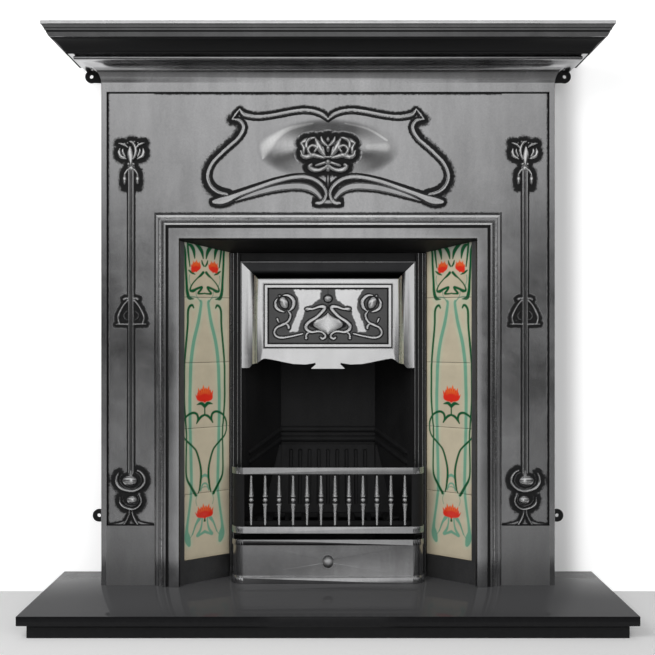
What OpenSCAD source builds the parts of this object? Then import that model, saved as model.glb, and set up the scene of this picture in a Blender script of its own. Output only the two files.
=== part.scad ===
// Tiled cast iron combination fireplace on a boxed stone hearth.
// Frame: x to the right, y from the room to the chimney, z up. The origin is on the floor,
// on the centre line, in the plane of the wall that the casting is fixed to.

/* [Hearth] */
// Width of the stone slab
hearth_w = 1290; // [1200:10:1500]
// How far the slab comes out from the wall
hearth_front = 310; // [300:5:420]
// How far the slab runs on behind the wall plane
hearth_back = 70; // [30:5:120]
// Thickness of the slab
slab_t = 20; // [15:1:30]
// Height of the strips that box the slab in
riser_h = 30; // [20:1:50]
// Thickness of those strips
riser_t = 20; // [15:1:25]
// How far the slab stands proud of the strips
slab_lip = 17; // [15:1:30]

/* [Front casting] */
// Width over the legs
mantel_w = 1050; // [1030:5:1100]
// Height from the hearth to the seat of the shelf
mantel_h = 1213; // [1200:5:1260]
// How far the sunk field stands in front of the wall
field_out = 59; // [55:1:70]
// Thickness of the cast iron
iron_t = 8; // [6:1:10]
// Width of the raised border
border_w = 13; // [10:1:18]
// How far the border stands proud of the field
border_rise = 3; // [2:0.5:4]
// Height of the cornice under the shelf
cornice_h = 50; // [45:1:60]
// Height of the flat band under the cornice
frieze_band_h = 22; // [16:1:30]
// Height of the plain blocks at the feet
foot_block_h = 138; // [120:1:150]

/* [Shelf] */
// Thickness of the shelf with its mouldings
shelf_t = 61; // [54:1:70]
// How far the shelf oversails the casting
shelf_over = 110; // [106:1:130]

/* [Opening] */
// How far the tile trays run on behind the frame of the casting
tray_behind = 6.7; // [5:0.1:9]
// Height of the opening above the hearth
opening_h = 801; // [795:1:806]
// Width of the flat frame around the opening
flat_frame_w = 24; // [20:1:24]
// How far the flat frame stands in front of the field
flat_frame_out = 22; // [20:1:24]

/* [Tiles] */
// Side of a square tile
tile_side = 152.4; // [150:0.2:152.4]
// Thickness of a tile
tile_t = 9; // [7:0.5:9]
// Joint between two tiles
tile_joint = 0.8; // [0.4:0.1:1.5]
// Number of tiles on each side
tile_count = 5; // [5:1:5]
// Height of the plain plinth below the tiles
tile_plinth_h = 54; // [50:1:60]
// Splay of the tile panels
splay = 38; // [37:0.5:38]

/* [Insert] */
// Half width of the fire opening
fire_half_w = 206; // [200:1:206]
// Width of the reeded stiles beside the fire
stile_w = 28; // [26:1:28]
// Height of the fire opening above the hearth
fire_h = 751; // [740:1:756]
// Where the front of the stiles stands behind the wall plane
arch_y = 17; // [15:1:18]
// Thickness of the arch plate
arch_t = 8; // [6:1:8]
// From the side of the canopy to its face
canopy_side_w = 42; // [38:1:44]
// Height of the canopy
canopy_h = 251; // [240:1:260]
// How far the canopy's face stands in front of the wall
canopy_out = 35; // [30:1:40]

/* [Firebox] */
// Height of the fluted back plate over the grate
back_plate_h = 175; // [160:1:185]
// Depth from the wall plane to the fireback
fireback_y = 175; // [165:1:200]
// Half width of the fireback
fireback_half_w = 120; // [110:1:130]
// Thickness of the fireback and the cheeks
fireback_t = 10; // [8:1:14]
// Height of the fire grate above the hearth
grate_h = 130; // [120:1:140]
// Number of bars in the bottom grate
grate_bars = 9; // [7:1:11]
// Width of a bar of the bottom grate
grate_bar_w = 9; // [7:1:11]

/* [Front bars and ash pan] */
// How far the basket front laps over the stiles
basket_lap = 20; // [17:0.5:22]
// How far the basket front stands in front of the wall
basket_out = 47; // [40:1:52]
// Corner radius of the basket front
basket_r = 28; // [24:1:32]
// Height of a rail
rail_h = 15; // [13:1:17]
// Thickness of a rail
rail_t = 9; // [8:1:10]
// Height of the lower rail above the hearth
lower_rail_h = 117; // [115:1:119]
// Height of the upper rail above the hearth
upper_rail_h = 255; // [250:1:265]
// Number of turned bars
bar_count = 12; // [10:1:13]
// From the end of the basket front to the first turned bar
bars_in = 46.7; // [46:0.1:60]
// Height of the ash pan cover
ash_cover_h = 102; // [96:1:102]
// Thickness of the ash pan cover
ash_cover_t = 6; // [5:1:7]
// Radius of the knob
knob_r = 12.5; // [8:0.5:13]
// Wall of the steel ash pan
pan_t = 1.6; // [1.2:0.1:2.5]
// Height of the ash pan
pan_h = 45; // [35:1:60]

/* [Fixings] */
// Radius of the screw holes in the wall lugs
lug_hole_r = 4.5; // [3:0.25:5]
// Thickness of a wall lug
lug_t = 5; // [4:0.5:6]
// Radius of the shelf bolts and the lug bolts
bolt_r = 4; // [3:0.5:4]
// Radius of the damper spindle
spindle_r = 4; // [3:0.5:5]
// Radial running clearance of the spindle
spindle_gap = 0.06; // [0.03:0.01:0.1]
// Clearance between loose pieces
gap = 0.3; // [0.2:0.05:0.5]

/* [Ornament] */
// How far the raised ornament stands out
relief = 5; // [3:0.5:7]
// Number of flutes in the sloping back plate
flutes = 9; // [7:1:11]

/* [Hidden] */
$fn = 48;

hearth_top = riser_h + slab_t;
half_w = mantel_w / 2;
field_y = -field_out;
border_y = field_y - border_rise;
seat_z = hearth_top + mantel_h;
cornice_z = seat_z - cornice_h;
band_z = cornice_z - frieze_band_h;
shelf_top_z = seat_z + shelf_t;
cornice_over = 46;
casting_back = lug_t;
flange_t = 6;
flange_w = 34;
groove_w = 3;
groove_d = 2;
seat_t = 8;

open_top_z = hearth_top + opening_h;
frame_top_z = open_top_z + flat_frame_w;

arch_half_w = fire_half_w + stile_w;
fire_top_z = hearth_top + fire_h;
arch_back = arch_y + arch_t;
reed_r = 3.5;
arch_top_z = fire_top_z + 23;

tile_x = arch_half_w + 2;
tile_y = arch_y + 5;
tile_z = hearth_top + tile_plinth_h;
tile_pitch = tile_side + tile_joint;
tray_gap = 0.5;
tray_t = 5;
tray_w = 143;
tray_lip_w = 11;
tray_lip_from = 125;
opening_half_w = round(tile_x + tray_w * cos(splay) - tray_behind);
frame_half_w = opening_half_w + flat_frame_w;
moulding_w = 36;
moulding_half_w = frame_half_w + moulding_w;
tile_top_z = tile_z + tile_count * tile_pitch;

basket_half_w = fire_half_w + basket_lap;
bar_pitch = 2 * (basket_half_w - bars_in) / (bar_count - 1);
basket_y = -basket_out;
basket_back = arch_y - reed_r - gap;
lower_rail_z = hearth_top + lower_rail_h;
upper_rail_z = hearth_top + upper_rail_h;
grate_z = hearth_top + grate_h;
bracket_z = lower_rail_z - gap - 13;
pin_r = 3;
pin_x = fire_half_w + 10;
pin_y = 3;

throat_z = fire_top_z;
throat_t = 6;
throat_half_w = 95;
throat_y0 = 66;
throat_y1 = 134;
spindle_y = throat_y1 + 14;
spindle_z = throat_z + throat_t + 11;
flap_t = 5;
ring_y = (throat_y0 + throat_y1) / 2 + 4;

lug_top_x = half_w + 36;
lug_top_z = seat_z - 22;
lug_bottom_x = half_w + 18;
lug_bottom_z = hearth_top + 151;
lug_end_r = 15;
lug_bolt_x = half_w - iron_t - 13;

bolt_head_r = 7;
bolt_head_h = 5;

iron = [0.42, 0.42, 0.43];
dark_iron = [0.12, 0.12, 0.13];
black_iron = [0.07, 0.07, 0.07];
bright_iron = [0.62, 0.62, 0.63];
granite = [0.07, 0.07, 0.08];
cream = [0.80, 0.74, 0.60];

// ---------------------------------------------------------------- helpers

// points on an arc
function arc(cx, cy, r, a0, a1, n = 10) =
    [for (i = [0:n]) let (a = a0 + (a1 - a0) * i / n) [cx + r * cos(a), cy + r * sin(a)]];

// points on an elliptical arc
function ellipse_arc(cx, cy, rx, ry, a0, a1, n = 10) =
    [for (i = [0:n]) let (a = a0 + (a1 - a0) * i / n) [cx + rx * cos(a), cy + ry * sin(a)]];

// a point on the smooth curve through the points p, between p[i] and p[i + 1]
function spline_at(p, i, t) =
    let (
        n = len(p) - 1,
        a = p[max(0, i - 1)], b = p[i], c = p[min(n, i + 1)], d = p[min(n, i + 2)]
    )
    0.5 * (2 * b + (c - a) * t + (2 * a - 5 * b + 4 * c - d) * t * t + (3 * b - a - 3 * c + d) * t * t * t);

// the smooth curve through the points p, whose third number is a width
function spline(p, steps) =
    concat([for (i = [0:len(p) - 2]) for (k = [0:steps - 1]) spline_at(p, i, k / steps)], [p[len(p) - 1]]);

function unit(v) = v / norm(v);

// the outline of a stroke whose width changes along it
function stroke_outline(q) =
    let (
        n = len(q) - 1,
        side = [for (i = [0:n])
            let (
                a = q[max(0, i - 1)], b = q[min(n, i + 1)],
                d = unit([b[0] - a[0], b[1] - a[1]])
            )
            [-d[1], d[0]] * q[i][2] / 2]
    )
    concat(
        [for (i = [0:n]) [q[i][0], q[i][1]] + side[i]],
        [for (i = [n:-1:0]) [q[i][0], q[i][1]] - side[i]]
    );

function mirrored(p) = [for (q = p) [-q[0], q[1], q[2]]];

// a stroke along the smooth curve through p, as a flat shape
module stroke(p, steps = 2) {
    polygon(stroke_outline(spline(p, steps)));
}

// a flat shape in x and z, raised from an upright face at y towards the room; it is rooted 1 mm deep
module raised(y, rise, z = 0) {
    translate([0, y + 1, z]) rotate([90, 0, 0]) linear_extrude(rise + 1) children();
}

// an ellipse in x and z
module oval(x, z, rx, rz, tilt = 0) {
    corners = 20;
    translate([x, z]) rotate(tilt)
        polygon([for (i = [0:corners - 1]) [rx * cos(i * 360 / corners), rz * sin(i * 360 / corners)]]);
}

// both halves of a symmetrical thing
module both() {
    children();
    mirror([1, 0, 0]) children();
}

// a block given by its two corners
module block(a, b) {
    translate(a) cube(b - a);
}

// a solid that oversails by the profile's first number at the front and both sides
// profile points are [oversail, z]; it reaches back to y = back
module oversailing(profile, base_half_w, base_y, back) {
    depth = 400;
    across = concat([for (q = profile) [base_half_w + q[0], q[1]]],
        [for (i = [len(profile) - 1:-1:0]) [-base_half_w - profile[i][0], profile[i][1]]]);
    along = concat([for (q = profile) [base_y - q[0], q[1]]],
        [[back, profile[len(profile) - 1][1]], [back, profile[0][1]]]);
    intersection() {
        translate([0, back, 0]) rotate([90, 0, 0]) linear_extrude(depth) polygon(across);
        translate([-base_half_w - depth, 0, 0]) rotate([90, 0, 90])
            linear_extrude(2 * (base_half_w + depth)) polygon(along);
    }
}

// a bolt along +z with a six-sided head below its seat at z = 0
module bolt(length, r = bolt_r, head_r = bolt_head_r) {
    cylinder(r = r, h = length);
    translate([0, 0, -bolt_head_h]) cylinder(r = head_r, h = bolt_head_h, $fn = 6);
}

// ---------------------------------------------------------------- hearth

module hearth_slab() {
    edge = 1.5;
    profile = [[-edge, riser_h], [0, riser_h + edge], [0, hearth_top - edge], [-edge, hearth_top]];
    color(granite) oversailing(profile, hearth_w / 2, -hearth_front, hearth_back);
}

module riser(a, b) {
    color(granite) block([a[0], a[1], 0], [b[0], b[1], riser_h]);
}

riser_x = hearth_w / 2 - slab_lip;
riser_y = -hearth_front + slab_lip;

module hearth_riser_front() {
    riser([-riser_x, riser_y], [riser_x, riser_y + riser_t]);
}

module hearth_riser_back() {
    riser([-riser_x, hearth_back - riser_t], [riser_x, hearth_back]);
}

module hearth_riser_side(s) {
    x0 = s * riser_x;
    x1 = s * (riser_x - riser_t);
    riser([min(x0, x1), riser_y + riser_t], [max(x0, x1), hearth_back - riser_t]);
}

module hearth_bearer() {
    bearer_w = 80;
    riser([-riser_x + riser_t, -bearer_w * 3 / 4], [riser_x - riser_t, bearer_w / 4]);
}

// ---------------------------------------------------------------- front casting

// section of the moulding round the opening; u runs outwards from the flat frame, v stands out from the field
function moulding_section() = concat(
    [[-flat_frame_w, 10], [-flat_frame_w + 4, 10], [-flat_frame_w + 4, flat_frame_out - 7],
        [-3, flat_frame_out - 7], [-3, -iron_t], [moulding_w, -iron_t]],
    arc(moulding_w - 5, 5, 5, 0, 180, 8),
    [for (q = ellipse_arc(24, 17, 15, 11, 270, 180, 7)) q],
    arc(6, 18, 3, 0, 180, 6),
    [[3, 17], [0, 17], [0, flat_frame_out], [-flat_frame_w, flat_frame_out]]
);

// the moulding runs up one side, mitred, over the top, mitred, and down the other side
module opening_moulding() {
    reach = moulding_w + flat_frame_w;
    z1 = frame_top_z + moulding_w;
    both() intersection() {
        translate([frame_half_w, field_y, hearth_top])
            linear_extrude(z1 - hearth_top) scale([1, -1]) polygon(moulding_section());
        rotate([90, 0, 0]) linear_extrude(200, center = true) polygon([
            [frame_half_w - flat_frame_w, hearth_top], [frame_half_w + moulding_w, hearth_top],
            [frame_half_w + moulding_w, z1], [frame_half_w - flat_frame_w, z1 - reach]
        ]);
    }
    intersection() {
        translate([-moulding_half_w, field_y, frame_top_z]) rotate([90, 0, 90])
            linear_extrude(2 * moulding_half_w)
                polygon([for (q = moulding_section()) [-q[1], q[0]]]);
        rotate([90, 0, 0]) linear_extrude(200, center = true) polygon([
            [-moulding_half_w, z1], [moulding_half_w, z1],
            [moulding_half_w - reach, z1 - reach], [-moulding_half_w + reach, z1 - reach]
        ]);
    }
}

// front plate with the raised border, the foot blocks and the grooves round the sunk field
module face_plate() {
    hole_w = frame_half_w + 12;
    hole_z = frame_top_z + 12;
    border_in = half_w - border_w;
    foot_z = hearth_top + foot_block_h;
    difference() {
        union() {
            block([-half_w, field_y, hearth_top], [half_w, field_y + iron_t, cornice_z]);
            both() block([border_in, border_y, hearth_top], [half_w, field_y + 1, cornice_z]);
            block([-half_w, border_y, band_z], [half_w, field_y + 1, cornice_z]);
            both() block([moulding_half_w - 2, border_y, hearth_top], [half_w, field_y + 1, foot_z]);
        }
        block([-hole_w, field_y - 20, hearth_top - 1], [hole_w, field_y + 20, hole_z]);
        both() block([border_in - groove_w, field_y - 1, foot_z], [border_in, field_y + groove_d, band_z]);
        block([-border_in, field_y - 1, band_z - groove_w], [border_in, field_y + groove_d, band_z]);
        both() block([moulding_half_w + 0.5, field_y - 1, foot_z], [border_in, field_y + groove_d, foot_z + groove_w]);
    }
}

function cornice_profile() = concat(
    [[0, cornice_z]],
    ellipse_arc(37, cornice_z, 37, cornice_h - 11, 180, 90, 9),
    [[cornice_over - 3, seat_z - 11]],
    arc(cornice_over, seat_z - 5.5, 5.5, -90, 90, 8)
);

module cornice() {
    difference() {
        oversailing(cornice_profile(), half_w, border_y, -casting_back);
        block([-half_w + iron_t, field_y + iron_t, cornice_z - 1],
            [half_w - iron_t, 1, seat_z - seat_t]);
        block([-half_w + 60, field_y + 50, seat_z - seat_t - 1], [half_w - 60, 1, seat_z + 1]);
    }
}

module leg_sides() {
    both() {
        block([half_w - iron_t, field_y, hearth_top], [half_w, -casting_back, cornice_z + 1]);
        block([half_w - flange_w, -casting_back - flange_t, hearth_top], [half_w, -casting_back, cornice_z + 1]);
    }
}

// centre lines of the cartouche's rails, as [x, height over its foot, width], for the half on the left
cartouche_z = frame_top_z + moulding_w + 15;
cartouche_top_rail = [
    [-1, 204, 6], [-17, 216, 9], [-58, 223, 9], [-110, 215, 9], [-160, 208, 9], [-195, 214, 10],
    [-203, 223, 4]
];
cartouche_side_rail = [
    [-219, 201, 9], [-201, 196, 9], [-195, 183, 9], [-210, 156, 8], [-245, 125, 8], [-270, 94, 8],
    [-278, 64, 9], [-268, 42, 9], [-234, 29, 8]
];
cartouche_bottom_rail = [
    [-259, 10, 6], [-232, 19, 15], [-200, 31, 12], [-150, 49, 10], [-104, 63, 9], [-59, 68, 9],
    [-30, 61, 9], [-7, 40, 8], [-5, 25, 7], [-16, 6, 9]
];
cartouche_web = [
    [-216, 12, 3], [-160, 36, 13], [-100, 47, 17], [-50, 48, 17], [-24, 32, 12], [-13, 18, 5]
];

// centre lines of the flower in the cartouche, for the half on the left
emblem = [
    [[-11, 113, 5], [-35, 119, 6], [-54, 116, 6], [-61, 128, 4]],
    [[-34, 118, 4], [-45, 130, 4], [-33, 141, 4], [-23, 130, 5]],
    [[-52, 126, 4], [-53, 140, 4], [-46, 152, 5]],
    [[-60, 147, 6], [-50, 155, 5], [-40, 157, 4]],
    [[-10, 121, 4], [-19, 136, 8], [-28, 153, 7]],
    [[-1, 95, 5], [-14, 89, 5], [-33, 88, 6], [-42, 82, 5]]
];

// leg ornament, over the foot block: a tulip on a stem of two ridges, a heart half way down and two
// crescents at the foot
stem_x = half_w - 69;
ornament_z = hearth_top + foot_block_h;
stem_ridge = 4;
stem_z = [122, 834];
tulip = [
    [[-3, 840, 5], [-14, 852, 7], [-28, 862, 6], [-28, 873, 5]],
    [[-9, 862, 6], [-14, 877, 6], [-31, 886, 5]],
    [[-1, 836, 8], [-3, 858, 13], [1, 886, 6]],
    [[-4, 824, 4], [-13, 814, 5], [-18, 800, 9], [-20, 790, 5]]
];
heart = [
    [[-7, 528, 5], [-17, 526, 6]],
    [[-8, 521, 5], [-18, 510, 5], [-30, 486, 5], [-28, 469, 5]],
    [[-12, 496, 3], [-17, 487, 3], [-8, 474, 3]]
];
heart_foot = [33, 466, 5];
crescents = [[106, 33, 7, 32, 14, 11], [59, 24, 6, 40, 10, 10]];
foot_stroke = [[-6, 34, 5], [-6, 22, 5], [-14, 7, 6], [-26, 2, 5]];

// an open ring on an upright face with a boss in it; c is [z, radius, width, half opening, boss]
module crescent(x, c) {
    ring = concat(arc(0, 0, c[1], 90 + c[3], 450 - c[3], 20),
        arc(0, 0, c[1] - c[2], 450 - c[3], 90 + c[3], 20));
    raised(field_y, relief, ornament_z) translate([x, c[0]]) polygon(ring);
    for (i = [0, 1])
        raised(field_y, relief + i * 2, ornament_z) oval(x, c[0], c[4] - i * 4, c[5] - i * 4);
}

// strokes along the given centre lines, shifted to x, with their mirror image
module strokes_pair(paths, x) {
    for (p = paths, s = [-1, 1])
        stroke([for (q = p) [x - s * q[0], q[1], q[2]]]);
}

module leg_ornament() {
    length = stem_z[1] - stem_z[0];
    raised(field_y, relief, ornament_z) {
        strokes_pair(concat(tulip, heart, [foot_stroke]), stem_x);
        for (s = [-1, 1]) translate([stem_x + s * stem_ridge - 2.5, stem_z[0]]) square([5, length]);
        translate([stem_x - heart_foot[0], heart_foot[1] - heart_foot[2] / 2])
            square([2 * heart_foot[0], heart_foot[2]]);
    }
    raised(field_y, relief * 0.4, ornament_z) translate([stem_x - 5, stem_z[0] + 2]) square([10, length - 4]);
    for (c = crescents) crescent(stem_x, c);
}

module cartouche() {
    dome_rise = [1.5, 3, 4.5];
    flower_rise = dome_rise[2] + relief * 0.6;
    raised(field_y, relief, cartouche_z)
        strokes_pair([cartouche_top_rail, cartouche_side_rail, cartouche_bottom_rail], 0);
    raised(field_y, relief * 0.5, cartouche_z) strokes_pair([cartouche_web], 0);
    // the swelling behind the flower, and the flower with its collar and knob
    for (i = [0:2])
        raised(field_y, dome_rise[i], cartouche_z) oval(0, 120, 165 - i * 35, 46 - i * 5);
    raised(field_y, flower_rise, cartouche_z) {
        strokes_pair(emblem, 0);
        oval(0, 155, 5, 8);
        oval(0, 132, 4, 11);
        oval(0, 102, 7, 7);
        oval(0, 113, 14, 5);
    }
}

module shelf_bolt_places() {
    for (x = [-420, -150, 150, 420]) translate([x, field_y + 28, seat_z - seat_t]) children();
}

module front_casting() {
    color(iron) difference() {
        union() {
            face_plate();
            opening_moulding();
            leg_sides();
            cornice();
            cartouche();
            both() leg_ornament();
        }
        shelf_bolt_places() cylinder(r = bolt_r + gap, h = 2 * seat_t, center = true);
        lug_bolt_places() cylinder(r = bolt_r * 0.75 + gap, h = 60, center = true);
    }
}

// ---------------------------------------------------------------- shelf

function shelf_profile() = concat(
    [[shelf_over - 45, seat_z], [shelf_over - 45, seat_z + 3]],
    arc(shelf_over - 0.8, seat_z - 14.7, 45, 154.7, 115.3, 6),
    [[shelf_over - 18.8, seat_z + 28.5], [shelf_over - 16.5, seat_z + 29.5], [shelf_over - 10, seat_z + 38],
        [shelf_over - 11, seat_z + 39.5], [shelf_over - 8.5, seat_z + 41], [shelf_over - 2, shelf_top_z - 9],
        [shelf_over - 2.5, shelf_top_z - 7.5]],
    arc(shelf_over - 3, shelf_top_z - 3, 3, -60, 90, 7)
);

module mantel_shelf() {
    boss_h = 20;
    color(iron) difference() {
        union() {
            difference() {
                oversailing(shelf_profile(), half_w, border_y, 0);
                block([-half_w - 45, border_y - 45, seat_z - 1], [half_w + 45, -iron_t, seat_z + 27]);
                block([-half_w - 77, border_y - 77, seat_z + 26], [half_w + 77, -iron_t, shelf_top_z - iron_t]);
                // the back rail is open so that the shelf drops over the seat
                block([-half_w + 60, -iron_t - 1, seat_z - 1], [half_w - 60, 1, seat_z + 20]);
            }
            shelf_bolt_places() translate([0, 0, seat_t]) cylinder(r = 12, h = shelf_t - iron_t + 1);
        }
        shelf_bolt_places() cylinder(r = bolt_r + spindle_gap, h = seat_t + boss_h + 1);
    }
}

module shelf_bolts() {
    color(dark_iron) shelf_bolt_places() translate([0, 0, -gap]) bolt(seat_t + 18);
}

// ---------------------------------------------------------------- wall lugs

module lug_bolt_places() {
    for (s = [-1, 1])
        for (z = [lug_top_z - 22, lug_bottom_z])
            translate([s * lug_bolt_x, -casting_back, z]) rotate([90, 0, 0]) children();
}

// a flat ear against the wall, screwed to the flange of the leg at root_z; drop is how far it falls
// below its hole at the edge of the leg
module lug(s, x, z, root_z, drop) {
    inner_x = half_w - flange_w;
    color(black_iron) mirror([s > 0 ? 1 : 0, 0, 0]) rotate([90, 0, 0])
        linear_extrude(lug_t - spindle_gap) difference() {
            union() {
                translate([-x, z]) circle(r = lug_end_r);
                polygon([
                    [-inner_x, root_z - 20], [-inner_x, root_z + 20], [-half_w, root_z + 20],
                    [-x + 2, z + lug_end_r - 1], [-x + 2, z - lug_end_r + 1], [-half_w, z - drop]
                ]);
            }
            translate([-x, z]) circle(r = lug_hole_r);
            translate([-lug_bolt_x, root_z]) circle(r = bolt_r * 0.75 + gap);
        }
}

module lug_top(s) {
    lug(s, lug_top_x, lug_top_z, lug_top_z - 22, lug_end_r);
}

module lug_bottom(s) {
    lug(s, lug_bottom_x, lug_bottom_z, lug_bottom_z, lug_end_r + 5);
}

module lug_bolts() {
    // the head lies in front of the flange, the shank ends flush with the back of the lug
    color(dark_iron) lug_bolt_places()
        translate([0, 0, -casting_back + 0.5]) {
            cylinder(r = bolt_r * 0.75, h = casting_back + flange_t);
            translate([0, 0, casting_back + flange_t - 0.5 + spindle_gap])
                cylinder(r = bolt_head_r - 1, h = bolt_head_h, $fn = 6);
        }
}

// ---------------------------------------------------------------- tile panels

// children are drawn with x along the panel from its inner edge, y behind the tiles' faces, z up
module on_panel(s) {
    mirror([s < 0 ? 1 : 0, 0, 0]) translate([tile_x, tile_y, 0]) rotate([0, 0, -splay]) children();
}

// a tile with a slightly cushioned edge
module tile(s, i) {
    edge = 1;
    z0 = tile_z + (i - 1) * tile_pitch + tile_joint;
    color(cream) on_panel(s) intersection() {
        translate([0, tile_t, z0]) rotate([90, 0, 0]) linear_extrude(tile_t) square(tile_side);
        translate([0, 0, z0]) linear_extrude(tile_side) polygon([
            [0, edge], [edge, 0], [tile_side - edge, 0], [tile_side, edge], [tile_side, tile_t], [0, tile_t]
        ]);
        translate([0, 0, z0]) rotate([90, 0, 90]) linear_extrude(tile_side) polygon([
            [edge, 0], [0, edge], [0, tile_side - edge], [edge, tile_side], [tile_t, tile_side], [tile_t, 0]
        ]);
    }
}

module tile_tray(s) {
    lip_y = -2 - tray_gap;
    back_y = tile_t + tray_gap;
    inner = 6;
    color(dark_iron) difference() {
        on_panel(s) tray_body(lip_y, back_y, inner);
        // the top is cut back where it would meet the moulding of the casting
        block([-half_w, 2 * field_y, frame_top_z - 3 - gap], [half_w, field_y + iron_t + gap, cornice_z]);
    }
}

module tray_body(lip_y, back_y, inner) {
    union() {
        // back plate behind the tiles
        block([inner, back_y, hearth_top], [tray_w, back_y + tray_t, tile_top_z + 6]);
        // plinth that the tiles stand on
        block([inner, 0, hearth_top], [tray_w, back_y + 1, tile_z]);
        block([0, 0, hearth_top], [inner + 1, 3, tile_z]);
        // outer lip that hides the tiles' edge, carried by the plinth and by a cap over the tiles
        block([tray_lip_from, lip_y, hearth_top], [tray_lip_from + tray_lip_w, -tray_gap, tile_top_z + 6]);
        block([tray_lip_from, -tray_gap - 0.1, hearth_top], [tray_lip_from + tray_lip_w, 1, tile_z - 1]);
        block([tray_lip_from, lip_y, tile_top_z + tray_gap], [tray_lip_from + tray_lip_w, back_y + 1, tile_top_z + 6]);
    }
}

// ---------------------------------------------------------------- insert

// sloping plate between the flat frame and the arch plate, over the canopy
module header_plate() {
    front_y = field_y - 10 + gap;
    back_y = arch_y + reed_r + 4;
    front_z = open_top_z - 3;
    back_z = arch_top_z + 1;
    t = 6;
    slope = tan(splay);
    function edge_x(y) = tile_x + (tile_y - y) / slope - 4.5;
    color(black_iron) intersection() {
        linear_extrude(2 * front_z) polygon([
            [edge_x(front_y), front_y], [edge_x(back_y), back_y],
            [-edge_x(back_y), back_y], [-edge_x(front_y), front_y]
        ]);
        translate([-half_w, 0, 0]) rotate([90, 0, 90]) linear_extrude(mantel_w) polygon([
            [front_y, front_z], [front_y, front_z + t], [back_y, back_z + t], [back_y, back_z]
        ]);
    }
}

module arch_plate() {
    color(dark_iron) difference() {
        union() {
            difference() {
                block([-arch_half_w, arch_y, hearth_top], [arch_half_w, arch_back, arch_top_z]);
                block([-fire_half_w, arch_y - 1, hearth_top - 1], [fire_half_w, arch_back + 1, fire_top_z]);
            }
            both() for (i = [0:2])
                translate([fire_half_w + reed_r + 1.5 + i * (stile_w - 2 * reed_r - 3) / 2, arch_y + 0.5, hearth_top])
                    cylinder(r = reed_r, h = arch_top_z - hearth_top - 2);
            // brackets that the basket's pins stand in
            both() block([pin_x - 8, pin_y - 8, bracket_z], [pin_x + 8, arch_y + 1, bracket_z + 13]);
        }
        both() translate([pin_x, pin_y, bracket_z - 1]) cylinder(r = pin_r + spindle_gap, h = 20);
        arch_screw_places() cylinder(r = bolt_r * 0.75 + spindle_gap, h = 60, center = true);
        block([-fire_half_w, arch_y - 20, hearth_top - 1], [fire_half_w, arch_y + 1, bracket_z + 20]);
    }
}

module arch_screw_places() {
    for (s = [-1, 1])
        for (z = [ear_z[1] - 10, ear_z[0] + 10, grate_z + 60])
            translate([s * (fire_half_w + 14), arch_back, z]) rotate([90, 0, 0]) children();
}

// screws through the canopy's and the cheeks' flanges into the arch plate, driven from behind
module arch_screws() {
    color(dark_iron) arch_screw_places() translate([0, 0, -iron_t]) {
        cylinder(r = bolt_r * 0.75, h = iron_t + 6);
        translate([0, 0, -bolt_head_h]) cylinder(r = bolt_head_r - 1, h = bolt_head_h, $fn = 6);
    }
}

canopy_face_half_w = fire_half_w - canopy_side_w;
canopy_face_top_z = fire_top_z - 41;
canopy_foot_z = fire_top_z - canopy_h;
canopy_t = 6;
ear_z = [fire_top_z - 0.8 * canopy_h, fire_top_z - 0.08 * canopy_h];

// plan of the canopy's side and section of its top: an outer fillet and an ogee up to the face
function canopy_curve(outer, inner, seat_y, front_y) = concat(
    [[outer, seat_y], [outer - 13, seat_y]],
    ellipse_arc(outer - 13, front_y + 16, outer - inner - 17, seat_y - front_y - 16, 90, 180, 6),
    [[inner + 4, front_y + 5], [inner, front_y]]
);

module canopy_body(t) {
    w = fire_half_w - gap;
    plan = canopy_curve(w - t, canopy_face_half_w - t, arch_y - 9 + t, -canopy_out + t);
    top = canopy_curve(fire_top_z - gap - t, canopy_face_top_z - t, arch_y - 9 + t, -canopy_out + t);
    back = arch_back;
    intersection() {
        translate([0, 0, canopy_foot_z - 10 - t]) linear_extrude(canopy_h + 20)
            polygon(concat([[w - t, back]], plan, [for (i = [len(plan) - 1:-1:0]) [-plan[i][0], plan[i][1]]],
                [[-w + t, back]]));
        translate([-w, 0, 0]) rotate([90, 0, 90]) linear_extrude(2 * w)
            polygon(concat([[back, canopy_foot_z - 10 - t], [back, fire_top_z - gap - t]],
                [for (q = top) [q[1], q[0]]], [[-canopy_out + t, canopy_foot_z - 10 - t]]));
    }
}

// shape cut away under the canopy's lower edge, for the half on the left
canopy_edge = [
    [-209, 0], [-188, 0], [-180, 9], [-166, 13], [-156, 21], [-149, 24], [-134, 22], [-106, 16], [-80, 11],
    [-52, 10], [-35, 12], [-30, 14], [-29, 10], [-39, 1], [-39, 0]
];

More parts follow.
